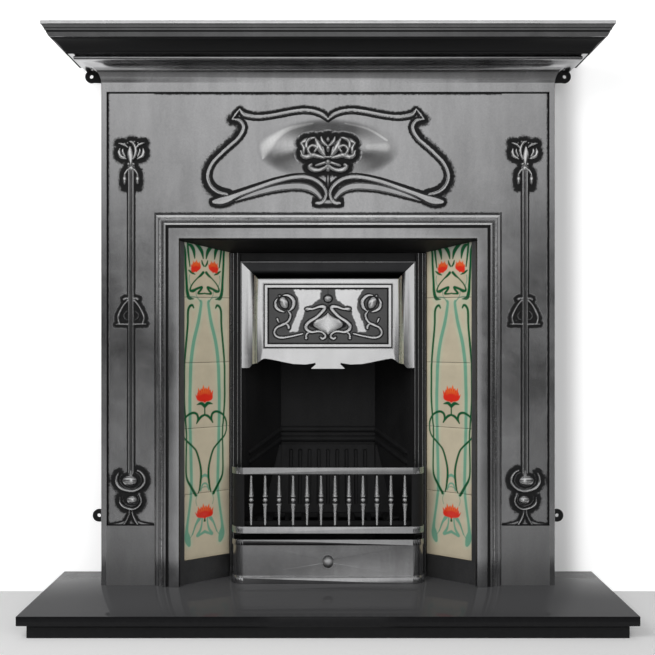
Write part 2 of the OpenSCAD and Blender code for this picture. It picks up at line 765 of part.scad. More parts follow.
module canopy() {
    panel_w = canopy_face_half_w - 23;
    panel_z0 = canopy_foot_z + 58;
    panel_z1 = canopy_foot_z + 189;
    color(bright_iron) difference() {
        union() {
            difference() {
                canopy_body(0);
                canopy_body(canopy_t);
                block([-fire_half_w + 20, arch_y, canopy_foot_z - 30],
                    [fire_half_w - 20, arch_back + 1, fire_top_z - 20]);
                block([-panel_w, -canopy_out - 1, panel_z0], [panel_w, -canopy_out + 2, panel_z1]);
            }
            // fixing ears behind the arch plate
            both() block([fire_half_w - 12, arch_back, ear_z[0]], [fire_half_w + 22, arch_back + iron_t, ear_z[1]]);
            both() block([fire_half_w - 12, arch_y, ear_z[0]], [fire_half_w - gap, arch_back + 1, ear_z[1]]);
            // raised fillet round the panel
            translate([0, -canopy_out, 0]) difference() {
                block([-panel_w - 11, -2.5, panel_z0 - 10], [panel_w + 11, 1, panel_z1 + 10]);
                block([-panel_w - 1, -4, panel_z0 - 1], [panel_w + 1, 2, panel_z1 + 1]);
            }
            canopy_ornament(-canopy_out + 2);
        }
        translate([0, arch_back + 60, canopy_foot_z]) rotate([90, 0, 0]) linear_extrude(200)
            polygon(concat([[-250, -40], [-250, 0]], canopy_edge,
                [for (i = [len(canopy_edge) - 1:-1:0]) [-canopy_edge[i][0], canopy_edge[i][1]]],
                [[250, 0], [250, -40]]));
        arch_screw_places() cylinder(r = bolt_r * 0.75 + spindle_gap, h = 60, center = true);
    }
}

// centre lines of the canopy's ornament above its foot, for the half on the left
canopy_lines = [
    [[-49, 138, 4], [-36, 141, 6], [-24, 143, 6], [-10, 142, 6]],
    [[-12, 139, 6], [-20, 128, 7], [-42, 110, 6], [-53, 101, 5], [-46, 92, 5], [-23, 89, 6], [-6, 82, 5]],
    [[-94, 138, 4], [-89, 125, 4], [-110, 107, 4], [-125, 92, 4], [-122, 80, 4], [-106, 74, 4], [-86, 77, 4],
        [-53, 83, 4]],
    [[-118, 113, 4], [-108, 118, 5], [-100, 112, 4]],
    [[-95, 98, 4], [-86, 102, 5], [-80, 94, 4]],
    [[-112, 168, 4], [-122, 155, 5], [-117, 141, 6], [-100, 135, 6], [-87, 146, 5], [-91, 166, 4]]
];

// whiplash stems, tulips and an onion-shaped leaf on the canopy's sunk panel
module canopy_ornament(y) {
    raised(y, 3) translate([0, canopy_foot_z]) {
        strokes_pair(canopy_lines, 0);
        for (s = [-1, 1]) oval(s * 104, 153, 11, 14, s * 15);
        polygon(concat(
            [[0, 130]], ellipse_arc(0, 106, 37, 13, 70, -30, 6), [[5, 84], [0, 78], [-5, 84]],
            ellipse_arc(0, 106, 37, 13, 210, 110, 6)));
        oval(0, 164, 8, 8);
    }
}

// ---------------------------------------------------------------- firebox

module fireback() {
    rib_z = grate_z + 215;
    color(black_iron) {
        block([-fireback_half_w, fireback_y, hearth_top], [fireback_half_w, fireback_y + fireback_t, throat_z - gap]);
        for (z = [rib_z - 8, rib_z - 32])
            translate([-fireback_half_w, fireback_y, z]) rotate([0, 90, 0]) cylinder(r = 8, h = 2 * fireback_half_w);
    }
}

plate_run = 68;
cheek_run = fire_half_w - 1 - fireback_half_w - fireback_t;
cheek_y0 = arch_back + gap;
cheek_len = sqrt(pow(cheek_run, 2) + pow(fireback_y + fireback_t - cheek_y0, 2));
cheek_turn = atan2(fireback_y + fireback_t - cheek_y0, cheek_run);

module cheek(s) {
    mirror([s < 0 ? 1 : 0, 0, 0]) color(black_iron) difference() {
        union() {
            linear_extrude(throat_z - gap) polygon([
                [fire_half_w - 1, cheek_y0], [fire_half_w + fireback_t, cheek_y0],
                [fireback_half_w + fireback_t + gap + 12, fireback_y + fireback_t],
                [fireback_half_w + gap, fireback_y + fireback_t], [fireback_half_w + gap, fireback_y - gap]
            ]);
            // flange that is screwed to the arch plate below the canopy
            block([fire_half_w - 1, cheek_y0, grate_z], [fire_half_w + 24, cheek_y0 + 7, canopy_foot_z - 30]);
            // ledge that carries the bottom grate
            intersection() {
                block([fireback_half_w - 6, cheek_y0 + 5, grate_z - 12], [fire_half_w, fireback_y - 10, grate_z - gap]);
                linear_extrude(throat_z) polygon([
                    [fire_half_w - 16, cheek_y0], [fire_half_w + 1, cheek_y0],
                    [fireback_half_w + 1, fireback_y], [fireback_half_w - 16, fireback_y]
                ]);
            }
            // two ribs that fall towards the front
            for (dz = [0, -24])
                translate([fireback_half_w + 1, fireback_y, grate_z + 207 + dz])
                    rotate([0, 0, -(90 - atan2(fire_half_w - fireback_half_w, fireback_y - cheek_y0)) ])
                        rotate([0, 90 + 17, 0]) cylinder(r = 7, h = cheek_len * 0.86);
        }
        linear_extrude(hearth_top) square(500, center = true);
        block([-1, -200, 0], [600, cheek_y0, 1000]);
        arch_screw_places() cylinder(r = bolt_r * 0.75 + spindle_gap, h = 60, center = true);
        // room for the fireback with its ribs
        block([-1, fireback_y - 9, 0], [fireback_half_w + gap, fireback_y + 60, 1000]);
        // room for the canopy's ear
        block([fire_half_w - 13, cheek_y0 - 1, ear_z[0] - 1],
            [fire_half_w + 40, arch_back + iron_t + gap, ear_z[1] + 1]);
    }
}

// half width between the cheeks at depth y
function cheek_half_at(y) =
    fire_half_w - 1 - (fire_half_w - 1 - fireback_half_w) * (y - cheek_y0) / (fireback_y - cheek_y0);

// sloping plate at the back of the fire, with upright flutes; it stands on the ledges of the cheeks
module fluted_back_plate() {
    top = [fireback_y - gap, grate_z + back_plate_h];
    foot = [fireback_y - plate_run, grate_z];
    t = 10;
    w = fireback_half_w - 3;
    pitch = 2 * w / (flutes + 1);
    angle = atan2(top[0] - foot[0], top[1] - foot[1]);
    run = norm(top - foot) - 10;
    wide = cheek_half_at(foot[0] - t) - 2 * gap;
    narrow = cheek_half_at(top[0]) - 2 * gap;
    color(black_iron) intersection() {
        translate([0, foot[0], foot[1]]) rotate([-angle, 0, 0]) difference() {
            block([-fire_half_w, -t, 0], [fire_half_w, 0, run]);
            for (i = [1:flutes])
                translate([-w + i * pitch, -t, 26]) {
                    cylinder(r = 5, h = run - 42);
                    translate([0, 0, run - 42]) sphere(r = 5, $fn = 24);
                }
            // the wings beside the flutes are thinner
            both() block([w, -t - 1, -1], [fire_half_w + 1, -t + 5, run + 1]);
        }
        linear_extrude(throat_z) polygon([
            [-wide, foot[0] - t], [wide, foot[0] - t], [narrow, top[0]], [-narrow, top[0]]
        ]);
    }
}

module throat_plate() {
    color(black_iron) {
        difference() {
            translate([0, 0, throat_z]) linear_extrude(throat_t) polygon([
                [-fire_half_w - 10, arch_back + gap], [fire_half_w + 10, arch_back + gap],
                [fireback_half_w + 22, fireback_y + fireback_t], [-fireback_half_w - 22, fireback_y + fireback_t]
            ]);
            block([-throat_half_w, throat_y0, throat_z - 1], [throat_half_w, throat_y1, throat_z + throat_t + 1]);
        }
        // ears with the spindle's bearings
        both() difference() {
            translate([throat_half_w + 16, spindle_y, throat_z + throat_t - 1]) rotate([0, 90, 0])
                linear_extrude(8) union() {
                    translate([-spindle_z + throat_z + throat_t - 1, 0]) circle(r = 9);
                    translate([-12, -9]) square([12, 18]);
                }
            translate([0, spindle_y, spindle_z]) rotate([0, 90, 0])
                cylinder(r = spindle_r + spindle_gap, h = 400, center = true);
        }
    }
}

module damper_spindle() {
    color(dark_iron) translate([0, spindle_y, spindle_z]) rotate([0, 90, 0])
        cylinder(r = spindle_r, h = 2 * (throat_half_w + 30), center = true);
}

// the flap lies on the throat plate; two knuckles hold it to its spindle
module damper_flap() {
    z0 = throat_z + throat_t + gap;
    color(black_iron) difference() {
        union() {
            block([-throat_half_w - 8, throat_y0 - 8, z0], [throat_half_w + 8, throat_y1 + 4, z0 + flap_t]);
            both() {
                block([throat_half_w - 30, throat_y1 - 6, z0], [throat_half_w - 10, spindle_y, z0 + flap_t]);
                translate([throat_half_w - 30, spindle_y, spindle_z]) rotate([0, 90, 0]) cylinder(r = 8, h = 20);
            }
        }
        translate([0, spindle_y, spindle_z]) rotate([0, 90, 0])
            cylinder(r = spindle_r, h = 400, center = true);
        translate([0, ring_y, z0 - 1]) cylinder(r = 2.5, h = 20);
    }
}

// pull ring that hangs through the throat, reached from below with a poker
module damper_ring() {
    z0 = throat_z + throat_t + gap;
    color(dark_iron) translate([0, ring_y, 0]) {
        translate([0, 0, z0 - 24]) cylinder(r = 2.5, h = 24 + flap_t);
        translate([0, 0, z0 + flap_t]) cylinder(r = 5, h = 2);
        translate([0, 0, z0 - 24 - 9]) rotate([90, 0, 0])
            rotate_extrude($fn = 36) translate([10, 0]) circle(r = 2.5, $fn = 16);
    }
}

// ---------------------------------------------------------------- grates

module bottom_grate() {
    t = 10;
    y0 = -20;
    y1 = fireback_y - plate_run - 14;
    function half_at(y) = cheek_half_at(max(y, cheek_y0)) - 9;
    w = half_at(y0);
    pitch = 2 * (w - 20) / grate_bars;
    color(dark_iron) difference() {
        translate([0, 0, grate_z]) linear_extrude(t) polygon([
            [-w, y0], [w, y0], [w, cheek_y0], [half_at(y1), y1], [-half_at(y1), y1], [-w, cheek_y0]
        ]);
        for (i = [-(grate_bars - 1) / 2:(grate_bars - 1) / 2]) {
            x = i * pitch;
            slot = pitch - grate_bar_w;
            reach = min(y1 - 12, cheek_y0 + (fire_half_w - 30 - abs(x) - slot / 2)
                * (fireback_y - cheek_y0) / (fire_half_w - fireback_half_w));
            block([x - slot / 2, y0 + 12, grate_z - 1], [x + slot / 2, reach, grate_z + t + 1]);
        }
    }
}

// plan of the basket's outline, offset inwards by d, as one open D
module basket_plan(d) {
    w = basket_half_w - d;
    r = basket_r - d;
    polygon(concat(
        [[w, basket_back]], arc(w - r, basket_y + basket_r, r, 0, -90, 8),
        arc(-w + r, basket_y + basket_r, r, -90, -180, 8), [[-w, basket_back]]
    ));
}

module basket_band(z, h, d0, d1) {
    translate([0, 0, z]) linear_extrude(h) difference() {
        basket_plan(d0);
        translate([0, 0]) offset_band(d1);
    }
}

// inner outline of a band: it runs past the open back
module offset_band(d) {
    w = basket_half_w - d;
    r = max(0.5, basket_r - d);
    polygon(concat(
        [[w, basket_back + 1]], arc(w - r, basket_y + d + r, r, 0, -90, 8),
        arc(-w + r, basket_y + d + r, r, -90, -180, 8), [[-w, basket_back + 1]]
    ));
}

// one turned bar: two cones, a ball and two collars
module turned_bar() {
    span = upper_rail_z - lower_rail_z - rail_h;
    ball_z = span * 0.52;
    rotate_extrude($fn = 32) polygon(concat(
        [[0, -1], [2.7, -1], [2.7, 4], [6, ball_z - 9], [6, ball_z - 6.5], [3, ball_z - 5.5]],
        arc(0, ball_z, 5.3, -50, 50, 8),
        [[3, ball_z + 5.5], [6, ball_z + 6.5], [6, ball_z + 9], [2.7, span - 4], [2.7, span + 1], [0, span + 1]]
    ));
}

module front_bars() {
    end_x = fire_half_w - 11;
    color(iron) {
        for (z = [lower_rail_z, upper_rail_z]) basket_band(z, rail_h, 0, rail_t);
        // curved end plates
        difference() {
            basket_band(lower_rail_z + 1, upper_rail_z - lower_rail_z, 2.5, 6.5);
            block([-end_x, basket_y - 1, lower_rail_z], [end_x, basket_back + 5, upper_rail_z + rail_h]);
        }
        for (i = [0:bar_count - 1])
            translate([(i - (bar_count - 1) / 2) * bar_pitch, basket_y + rail_t / 2, lower_rail_z + rail_h])
                turned_bar();
        // pins and the webs that carry them
        both() {
            translate([pin_x, pin_y, bracket_z + 2]) cylinder(r = pin_r, h = lower_rail_z - bracket_z);
            block([pin_x - 4, pin_y - 4, lower_rail_z], [basket_half_w - rail_t + 1, pin_y + 4, lower_rail_z + 8]);
        }
    }
}

module ash_pan_cover() {
    z0 = hearth_top + gap;
    z1 = hearth_top + ash_cover_h;
    color(iron) difference() {
        union() {
            basket_band(z0, z1 - z0, 3, 3 + ash_cover_t);
            basket_band(z1 - 13, 13, 0.5, 3 + ash_cover_t);
            basket_band(z0, 13, -2, 3 + ash_cover_t);
            basket_band(z0 + 13, 4, 0.5, 3 + ash_cover_t);
        }
        knob_place() cylinder(r = 3, h = 40, center = true);
    }
}

module knob_place() {
    translate([0, basket_y + 3, hearth_top + ash_cover_h / 2]) rotate([90, 0, 0]) children();
}

// knob with its stud through the cover
module cover_knob() {
    color(bright_iron) knob_place() {
        translate([0, 0, -ash_cover_t - 4]) cylinder(r = 3, h = ash_cover_t + 8);
        rotate_extrude($fn = 48) polygon(concat([[0, 0], [5, 0], [4.5, 4]],
            ellipse_arc(0, knob_r * 0.9, knob_r, knob_r * 0.62, -50, 90, 14)));
    }
}

pan_x = 125;
handle_out = 22;
pan_y0 = basket_y + 3 + ash_cover_t + handle_out + 5;
pan_y1 = fireback_y - 20;
pan_z = hearth_top + gap;

module ash_pan() {
    color(dark_iron) difference() {
        block([-pan_x, pan_y0, pan_z], [pan_x, pan_y1, pan_z + pan_h]);
        block([-pan_x + pan_t, pan_y0 + pan_t, pan_z + pan_t], [pan_x - pan_t, pan_y1 - pan_t, pan_z + pan_h + 1]);
    }
}

// strap handle on the front of the pan
module ash_pan_handle() {
    strap = 3;
    half = 32;
    z0 = pan_z + pan_h - 20;
    color(dark_iron) difference() {
        block([-half, pan_y0 - handle_out, z0], [half, pan_y0, z0 + 10]);
        block([-half + strap, pan_y0 - handle_out + strap, z0 - 1], [half - strap, pan_y0 + 1, z0 + 11]);
    }
}

// ---------------------------------------------------------------- the object

hearth_slab();
hearth_riser_front();
hearth_riser_back();
hearth_riser_side(-1);  // hearth_riser_left
hearth_riser_side(1);  // hearth_riser_right
hearth_bearer();
front_casting();
mantel_shelf();
shelf_bolts();
lug_top(-1);  // lug_top_left
lug_top(1);  // lug_top_right
lug_bottom(-1);  // lug_bottom_left
lug_bottom(1);  // lug_bottom_right
lug_bolts();
tile_tray(-1);  // tile_tray_left
tile_tray(1);  // tile_tray_right
for (i = [1:tile_count]) {
    tile(-1, i);
    tile(1, i);
}
header_plate();
arch_plate();
arch_screws();
canopy();
fireback();
cheek(-1);  // cheek_left
cheek(1);  // cheek_right
fluted_back_plate();
throat_plate();
damper_flap();
damper_spindle();
damper_ring();
bottom_grate();
front_bars();
ash_pan_cover();
cover_knob();
ash_pan();
ash_pan_handle();
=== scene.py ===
"""Finishes, relief and painted tiles of a tiled cast iron fireplace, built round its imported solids."""

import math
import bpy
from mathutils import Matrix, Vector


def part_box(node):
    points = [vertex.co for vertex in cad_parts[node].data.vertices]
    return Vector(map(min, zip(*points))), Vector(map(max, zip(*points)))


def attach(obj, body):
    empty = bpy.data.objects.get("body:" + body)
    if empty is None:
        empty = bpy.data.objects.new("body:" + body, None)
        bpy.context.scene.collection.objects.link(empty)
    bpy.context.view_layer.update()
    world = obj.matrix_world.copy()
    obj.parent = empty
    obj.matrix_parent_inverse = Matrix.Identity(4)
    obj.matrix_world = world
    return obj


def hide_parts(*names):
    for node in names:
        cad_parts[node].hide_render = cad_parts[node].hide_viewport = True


bl_info = {
    "name": "Tiled cast iron fireplace",
    "version": (1, 0, 0),
    "blender": (4, 5, 0),
    "location": "View3D > Sidebar > Fireplace",
    "description": "Dresses a cast iron fireplace: relief, mouldings, painted tiles, finishes and stage",
    "category": "Add Mesh",
}

import bpy
import numpy as np
from bpy.props import FloatProperty, FloatVectorProperty, PointerProperty
from bpy.types import Operator, Panel, PropertyGroup
from mathutils import Vector

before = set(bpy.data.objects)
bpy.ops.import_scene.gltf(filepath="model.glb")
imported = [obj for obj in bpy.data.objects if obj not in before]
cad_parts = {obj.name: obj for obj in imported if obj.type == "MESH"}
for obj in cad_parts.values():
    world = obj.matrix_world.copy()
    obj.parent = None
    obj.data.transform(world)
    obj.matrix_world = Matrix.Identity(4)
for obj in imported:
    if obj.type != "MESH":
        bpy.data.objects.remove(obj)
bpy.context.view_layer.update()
MM = 0.001

# faces and edges of the pieces, in millimetres, as the solids have them
HEARTH_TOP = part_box("hearth_slab")[1].z / MM
HALF_W = 525.0
FIELD_Y = -59.0
BORDER_Y = -62.0
BORDER_IN = HALF_W - 13.0
WALL = 7.0
FLANGE_FRONT = -5.0
GROOVE = (3.0, 2.0)
PLATE_BACK = -52.0
BAND_Z = 1191.0
CORNICE_Z = 1213.0
FOOT_Z = HEARTH_TOP + 138.0
FRAME_HALF_W = 366.0
FRAME_TOP = 875.0
MOULDING_W = 36.0
MOULDING_HALF_W = FRAME_HALF_W + MOULDING_W
MOULDING_TOP = FRAME_TOP + MOULDING_W
STEM_X = 456.0
PANEL_HALF_W = 141.0
PANEL_Z = (608.0, 739.0)
PANEL_Y = -33.0
TILE_SIDE = 152.4
TILE_T = 9.0
TILE_PITCH = 153.2
TILE_Z = 104.8
TILE_AT = (236.0, 22.0)
SPLAY = math.radians(38)

# the relief that the ornament's heights are drawn for, and how close points are merged, in metres
DRAWN_RELIEF = 5.2
WELD = 0.00001


# ------------------------------------------------------------------ sizes and colours

def length(name, description, default, low, high):
    return FloatProperty(name=name, description=description, default=default, min=low, max=high,
                         unit="LENGTH")


def tint(name, description, *default):
    return FloatVectorProperty(name=name, description=description, subtype="COLOR", size=3, default=default,
                               min=0, max=1)


class FireplaceSizes(PropertyGroup):
    relief: length("Relief", "How far the ornament stands out", 0.0052, 0.002, 0.008)
    halo: length("Dark edge", "Width of the patina round the ornament", 0.0085, 0.002, 0.02)
    swelling: length("Swelling", "Height of the swelling behind the flower", 0.011, 0.0, 0.012)
    arris: length("Arris", "Radius of the worn edges", 0.0012, 0.0003, 0.003)
    cushion: length("Cushion", "How far a tile's face falls at its edges", 0.0008, 0.0, 0.003)


class FireplaceColours(PropertyGroup):
    iron: tint("Polished iron", "Colour of the polished casting", 0.40, 0.40, 0.405)
    # the bright iron colour is also laid on the shelf's nose and the moulding's beads as a painted highlight
    hood: tint("Bright iron", "Colour of the burnished hood", 0.78, 0.78, 0.785)
    # the patina colour is also the painted shade on the shelf's cove and the arch beads' sides
    patina: tint("Patina And Painted Shade", "Colour of the blacking left in the hollows", 0.012, 0.012, 0.0125)
    soot: tint("Blacked iron", "Colour of the blacked inner castings", 0.013, 0.013, 0.0135)
    granite: tint("Granite", "Colour of the black granite", 0.006, 0.006, 0.0065)
    glaze: tint("Cream glaze", "Ground colour of the tiles", 0.60, 0.53, 0.39)
    wash: tint("Green wash", "Pale green ground beside the painted stems", 0.50, 0.63, 0.46)
    leaf: tint("Dark green", "Dark green of the painted stems", 0.010, 0.10, 0.035)
    stem: tint("Pale green", "Pale green of the painted stems", 0.18, 0.40, 0.28)
    flower: tint("Flower red", "Red of the painted flowers", 0.78, 0.032, 0.016)
    flame: tint("Flower orange", "Orange tips of the painted flowers", 0.93, 0.26, 0.045)


def power(name, description, default):
    return FloatProperty(name=name, description=description, default=default, min=0, unit="POWER")


class FireplaceStage(PropertyGroup):
    key: power("Key lamp", "Power of the large lamp in front at the left", 39.0)
    fill: power("Fill lamp", "Power of the lamp in front at the right", 22.0)
    room: FloatProperty(
        name="Room light", description="Strength of the light that the room gives", default=1.0, min=0)


def sizes():
    return bpy.context.scene.fireplace_sizes


def colours():
    return bpy.context.scene.fireplace_colours


# ------------------------------------------------------------------ making meshes

def deselect():
    if bpy.context.object and bpy.context.object.mode != "OBJECT":
        bpy.ops.object.mode_set(mode="OBJECT")
    bpy.ops.object.select_all(action="DESELECT")


def only(obj):
    deselect()
    obj.select_set(True)
    bpy.context.view_layer.objects.active = obj
    return obj


def edit(obj, work):
    """Runs work in edit mode with every part of the mesh selected."""
    only(obj)
    bpy.ops.object.mode_set(mode="EDIT")
    bpy.ops.mesh.select_all(action="SELECT")
    work()
    bpy.ops.object.mode_set(mode="OBJECT")
    return obj


def smooth(obj, degrees=32, flat_faces=False):
    """Shades smooth up to an angle; with flat_faces the large plane faces keep their own normals."""
    only(obj)
    bpy.ops.object.shade_smooth_by_angle(angle=math.radians(degrees))
    if flat_faces:
        weighted = obj.modifiers.new("weighted_normals", "WEIGHTED_NORMAL")
        weighted.keep_sharp = True
        weighted.weight = 100
        bpy.ops.object.modifier_apply(modifier=weighted.name)
    return obj


def weld_and_close(obj):
    """Merges doubled points, closes open ends and turns the faces outwards."""
    def work():
        bpy.ops.mesh.remove_doubles(threshold=WELD)
        bpy.ops.mesh.fill_holes(sides=0)
        bpy.ops.mesh.select_all(action="SELECT")
        bpy.ops.mesh.normals_make_consistent(inside=False)
    return edit(obj, work)


def put_marks(obj, name, values):
    """Lays one number for each point on a mesh, for the materials to read."""
    mark = obj.data.attributes.new(name, "FLOAT", "POINT")
    mark.data.foreach_set("value", np.ascontiguousarray(values, dtype=np.float32).ravel())


def coords(obj):
    """A mesh's points in millimetres."""
    flat = np.zeros(len(obj.data.vertices) * 3)
    obj.data.vertices.foreach_get("co", flat)
    return flat.reshape(-1, 3) / MM


def sheet(name, points, **marks):
    """A grid laid on rows x columns x 3 points in millimetres; rows go up, and columns to the right."""
    rows, columns = points.shape[:2]
    deselect()
    bpy.ops.mesh.primitive_grid_add(x_subdivisions=columns - 1, y_subdivisions=rows - 1, size=1)
    obj = bpy.context.object
    obj.name = obj.data.name = name
    obj.data.vertices.foreach_set("co", (points * MM).astype(np.float32).ravel())
    obj.data.update()
    for mark, values in marks.items():
        put_marks(obj, mark, values)
    return obj


def boundary_back(obj, y):
    """Draws the open edge of a sheet straight back to depth y, in millimetres, and closes it there."""
    def work():
        bpy.ops.mesh.select_mode(type="EDGE")
        bpy.ops.mesh.select_all(action="DESELECT")
        bpy.ops.mesh.select_non_manifold()
        bpy.ops.mesh.extrude_region_move(TRANSFORM_OT_translate={"value": (0, MM, 0)})
        bpy.ops.mesh.select_mode(type="VERT")
    count = len(obj.data.vertices)
    edit(obj, work)
    for vertex in obj.data.vertices[count:]:
        vertex.co.y = y * MM
    return edit(obj, lambda: bpy.ops.mesh.fill_holes(sides=0))


def run(name, stations, marks=None):
    """A closed section carried from station to station; each station has the same points."""
    ring = np.concatenate([stations, stations[:, :1]], axis=1)
    obj = sheet(name, ring)
    if marks is not None:
        put_marks(obj, "patina", np.tile(np.append(marks, marks[0]), len(stations)))
    return smooth(weld_and_close(obj), flat_faces=True)


def straight_run(name, ring, marks, axis, ends):
    """A closed section carried straight along axis 0 or 2 between its two ends."""
    across = np.array(ring, float)
    stations = [np.insert(across, axis, end, axis=1) for end in ends]
    return run(name, np.array(stations), np.array(marks, float))


def copy_of_node(node, name):
    """A CAD node's mesh as a new piece, with its loose triangles merged."""
    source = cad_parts[node]
    obj = bpy.data.objects.new(name, source.data.copy())
    obj.data.name = name
    obj.data.materials.clear()
    bpy.context.collection.objects.link(obj)
    return edit(obj, lambda: bpy.ops.mesh.remove_doubles(threshold=WELD / 2))


def drop_faces(obj, test, rule=all):
    """Deletes faces whose corners, all or any, pass test, a function of n x 3 points in millimetres."""
    inside = test(coords(obj))

    def clear():
        bpy.ops.mesh.select_mode(type="FACE")
        bpy.ops.mesh.select_all(action="DESELECT")
    edit(obj, clear)
    for polygon in obj.data.polygons:
        polygon.select = rule(inside[v] for v in polygon.vertices)
    bpy.ops.object.mode_set(mode="EDIT")
    bpy.ops.mesh.delete(type="FACE")
    bpy.ops.mesh.select_mode(type="VERT")
    bpy.ops.object.mode_set(mode="OBJECT")
    return obj


def set_piece(obj, finish, body="fireplace", nodes=()):
    """Gives a piece its finish, body and slot, and hides the nodes that it stands for."""
    obj.data.materials.clear()
    obj.data.materials.append(FINISHES[finish])
    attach(obj, body)
    if nodes:
        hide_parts(*nodes)
    return obj


def second_finish(obj, finish, test):
    """Lays another finish on the faces whose centre, in millimetres, and normal pass test."""
    obj.data.materials.append(FINISHES[finish])
    for polygon in obj.data.polygons:
        if test(polygon.center / MM, polygon.normal):
            polygon.material_index = 1


# ------------------------------------------------------------------ relief on a face

def smoothstep(edge0, edge1, x):
    t = np.clip((x - edge0) / (edge1 - edge0), 0, 1)
    return t * t * (3 - 2 * t)


CURVE_STEPS = 6


def curve_through(points):
    """A smooth line through given points; each point is x, height and width."""
    p = np.array(points, float)
    if len(p) < 3:
        return p
    out = []
    for i in range(len(p) - 1):
        a, b, c, d = p[max(i - 1, 0)], p[i], p[i + 1], p[min(i + 2, len(p) - 1)]
        for k in range(CURVE_STEPS):
            t = k / CURVE_STEPS
            out.append(0.5 * (2 * b + (c - a) * t + (2 * a - 5 * b + 4 * c - d) * t ** 2
                              + (3 * b - a - 3 * c + d) * t ** 3))
    out.append(p[-1])
    return np.array(out)


class Face:
    """Heights, patina, and rubbed crests with a painted highlight, over a grid of x and z lines, in
    millimetres.
    """

    def __init__(self, xs, zs):
        self.xs, self.zs = np.asarray(xs, float), np.asarray(zs, float)
        self.x, self.z = np.meshgrid(self.xs, self.zs)
        self.height = np.zeros_like(self.x)
        self.dark = np.zeros_like(self.x)
        self.clean = np.zeros_like(self.x)
        self.rub = np.zeros_like(self.x)

    def window(self, low_x, high_x, low_z, high_z):
        i0, i1 = np.searchsorted(self.xs, [low_x, high_x])
        j0, j1 = np.searchsorted(self.zs, [low_z, high_z])
        return slice(j0, j1), slice(i0, i1)

    def stroke(self, line, rise, form="round", halo=8.0, strength=1.0, rub=0.0):
        """Raises a rib along a centre line and leaves patina along its foot."""
        w, near, edge = self.measure(line, halo + line[:, 2].max() / 2 + 2)
        if near.size:
            self.add(w, near, edge, rise, form, halo, strength, rub)

    def paint_highlight(self, line, level):
        """Paints a soft highlight along a line, brightening the colour there."""
        w, near, _ = self.measure(line, line[:, 2].max())
        self.rub[w] = np.maximum(self.rub[w], level * smoothstep(1.0, 0.15, near))

    def measure(self, line, reach):
        """The grid window round a line, with the distance from it over its half width and from its edge."""
        low, high = line[:, :2].min(0) - reach, line[:, :2].max(0) + reach
        w = self.window(low[0], high[0], low[1], high[1])
        x, z = self.x[w], self.z[w]
        near = np.full(x.shape, 9.0)
        edge = np.full(x.shape, 99.0)
        for (ax, az, aw), (bx, bz, bw) in zip(line[:-1], line[1:]):
            dx, dz = bx - ax, bz - az
            length = dx * dx + dz * dz
            if length == 0:
                continue
            t = np.clip(((x - ax) * dx + (z - az) * dz) / length, 0, 1)
            distance = np.hypot(x - ax - t * dx, z - az - t * dz)
            half = (aw + (bw - aw) * t) / 2
            np.minimum(near, distance / half, out=near)
            np.minimum(edge, distance - half, out=edge)
        return w, near, edge

    def dot(self, cx, cz, rx, rz, rise, tilt=0.0, form="round", halo=8.0, rub=0.0):
        """Raises a rounded boss."""
        reach = max(rx, rz) + halo + 2
        w = self.window(cx - reach, cx + reach, cz - reach, cz + reach)
        x, z = self.x[w] - cx, self.z[w] - cz
        if x.size == 0:
            return
        c, s = math.cos(math.radians(tilt)), math.sin(math.radians(tilt))
        near = np.hypot((x * c + z * s) / rx, (-x * s + z * c) / rz)
        self.add(w, near, (near - 1) * min(rx, rz), rise, form, halo, 1.0, rub)

    def add(self, w, near, edge, rise, form, halo, strength, rub=0.0):
        """Raises one form in a window; near is 1 at its edge, and edge is the distance out from there."""
        if form == "round":
            shape = np.sqrt(np.clip(1 - np.clip(near, 0, 1) ** 2, 0, 1))
            top = np.clip(1 - near, 0, 1)
        elif form == "flat":
            shape = smoothstep(1.0, 0.62, near) * (1 - 0.10 * np.clip(1 - near / 0.7, 0, 1))
            top = smoothstep(1.0, 0.8, near)
        else:
            shape = np.clip(1 - near, 0, 1)
            top = shape
        self.height[w] = np.maximum(self.height[w], rise * shape)
        if halo > 0:
            around = np.clip(1.35 - edge / halo, 0, 1) * (near > 0.84)
            self.dark[w] = np.maximum(self.dark[w], strength * around)
        self.clean[w] = np.maximum(self.clean[w], np.clip(top * 5, 0, 1))
        # rubbed crests, made brighter still as a painted highlight
        self.rub[w] = np.maximum(self.rub[w], rub * np.clip(top * 2.5 - 0.4, 0, 1))

    def patina(self):
        return np.clip(self.dark * (1 - 0.92 * self.clean), 0, 1)

    def points(self, y):
        return np.stack([self.x, y - self.height, self.z], axis=2)


def lines_with_detail(low, high, step, coarse, *details):
    """Grid lines from low to high, coarse outside the detailed stretches and fine in them."""
    lines = [low]
    spans = sorted(details)
    at = low
    for start, end in spans + [(high, high)]:
        start = max(start, low)
        count = max(1, int(round((start - at) / coarse)))
        if start > at:
            lines += list(np.linspace(at, start, count + 1)[1:])
        if end > start:
            lines += list(np.linspace(start, end, int(round((end - start) / step)) + 1)[1:])
        at = max(at, end)
    return np.array(lines)


# ------------------------------------------------------------------ finishes

def new_group(name, inputs, outputs):
    group = bpy.data.node_groups.new(name, "ShaderNodeTree")
    for label, kind, default in inputs:
        socket = group.interface.new_socket(label, in_out="INPUT", socket_type=kind)
        socket.default_value = default
    for label, kind in outputs:
        group.interface.new_socket(label, in_out="OUTPUT", socket_type=kind)
    return group, group.nodes.new("NodeGroupInput"), group.nodes.new("NodeGroupOutput")


def node(tree, kind, values=None, **settings):
    made = tree.nodes.new(kind)
    for key, value in settings.items():
        setattr(made, key, value)
    for key, value in (values or {}).items():
        made.inputs[key].default_value = value
    return made


def join(tree, *pairs):
    for out_socket, in_socket in pairs:
        tree.links.new(out_socket, in_socket)


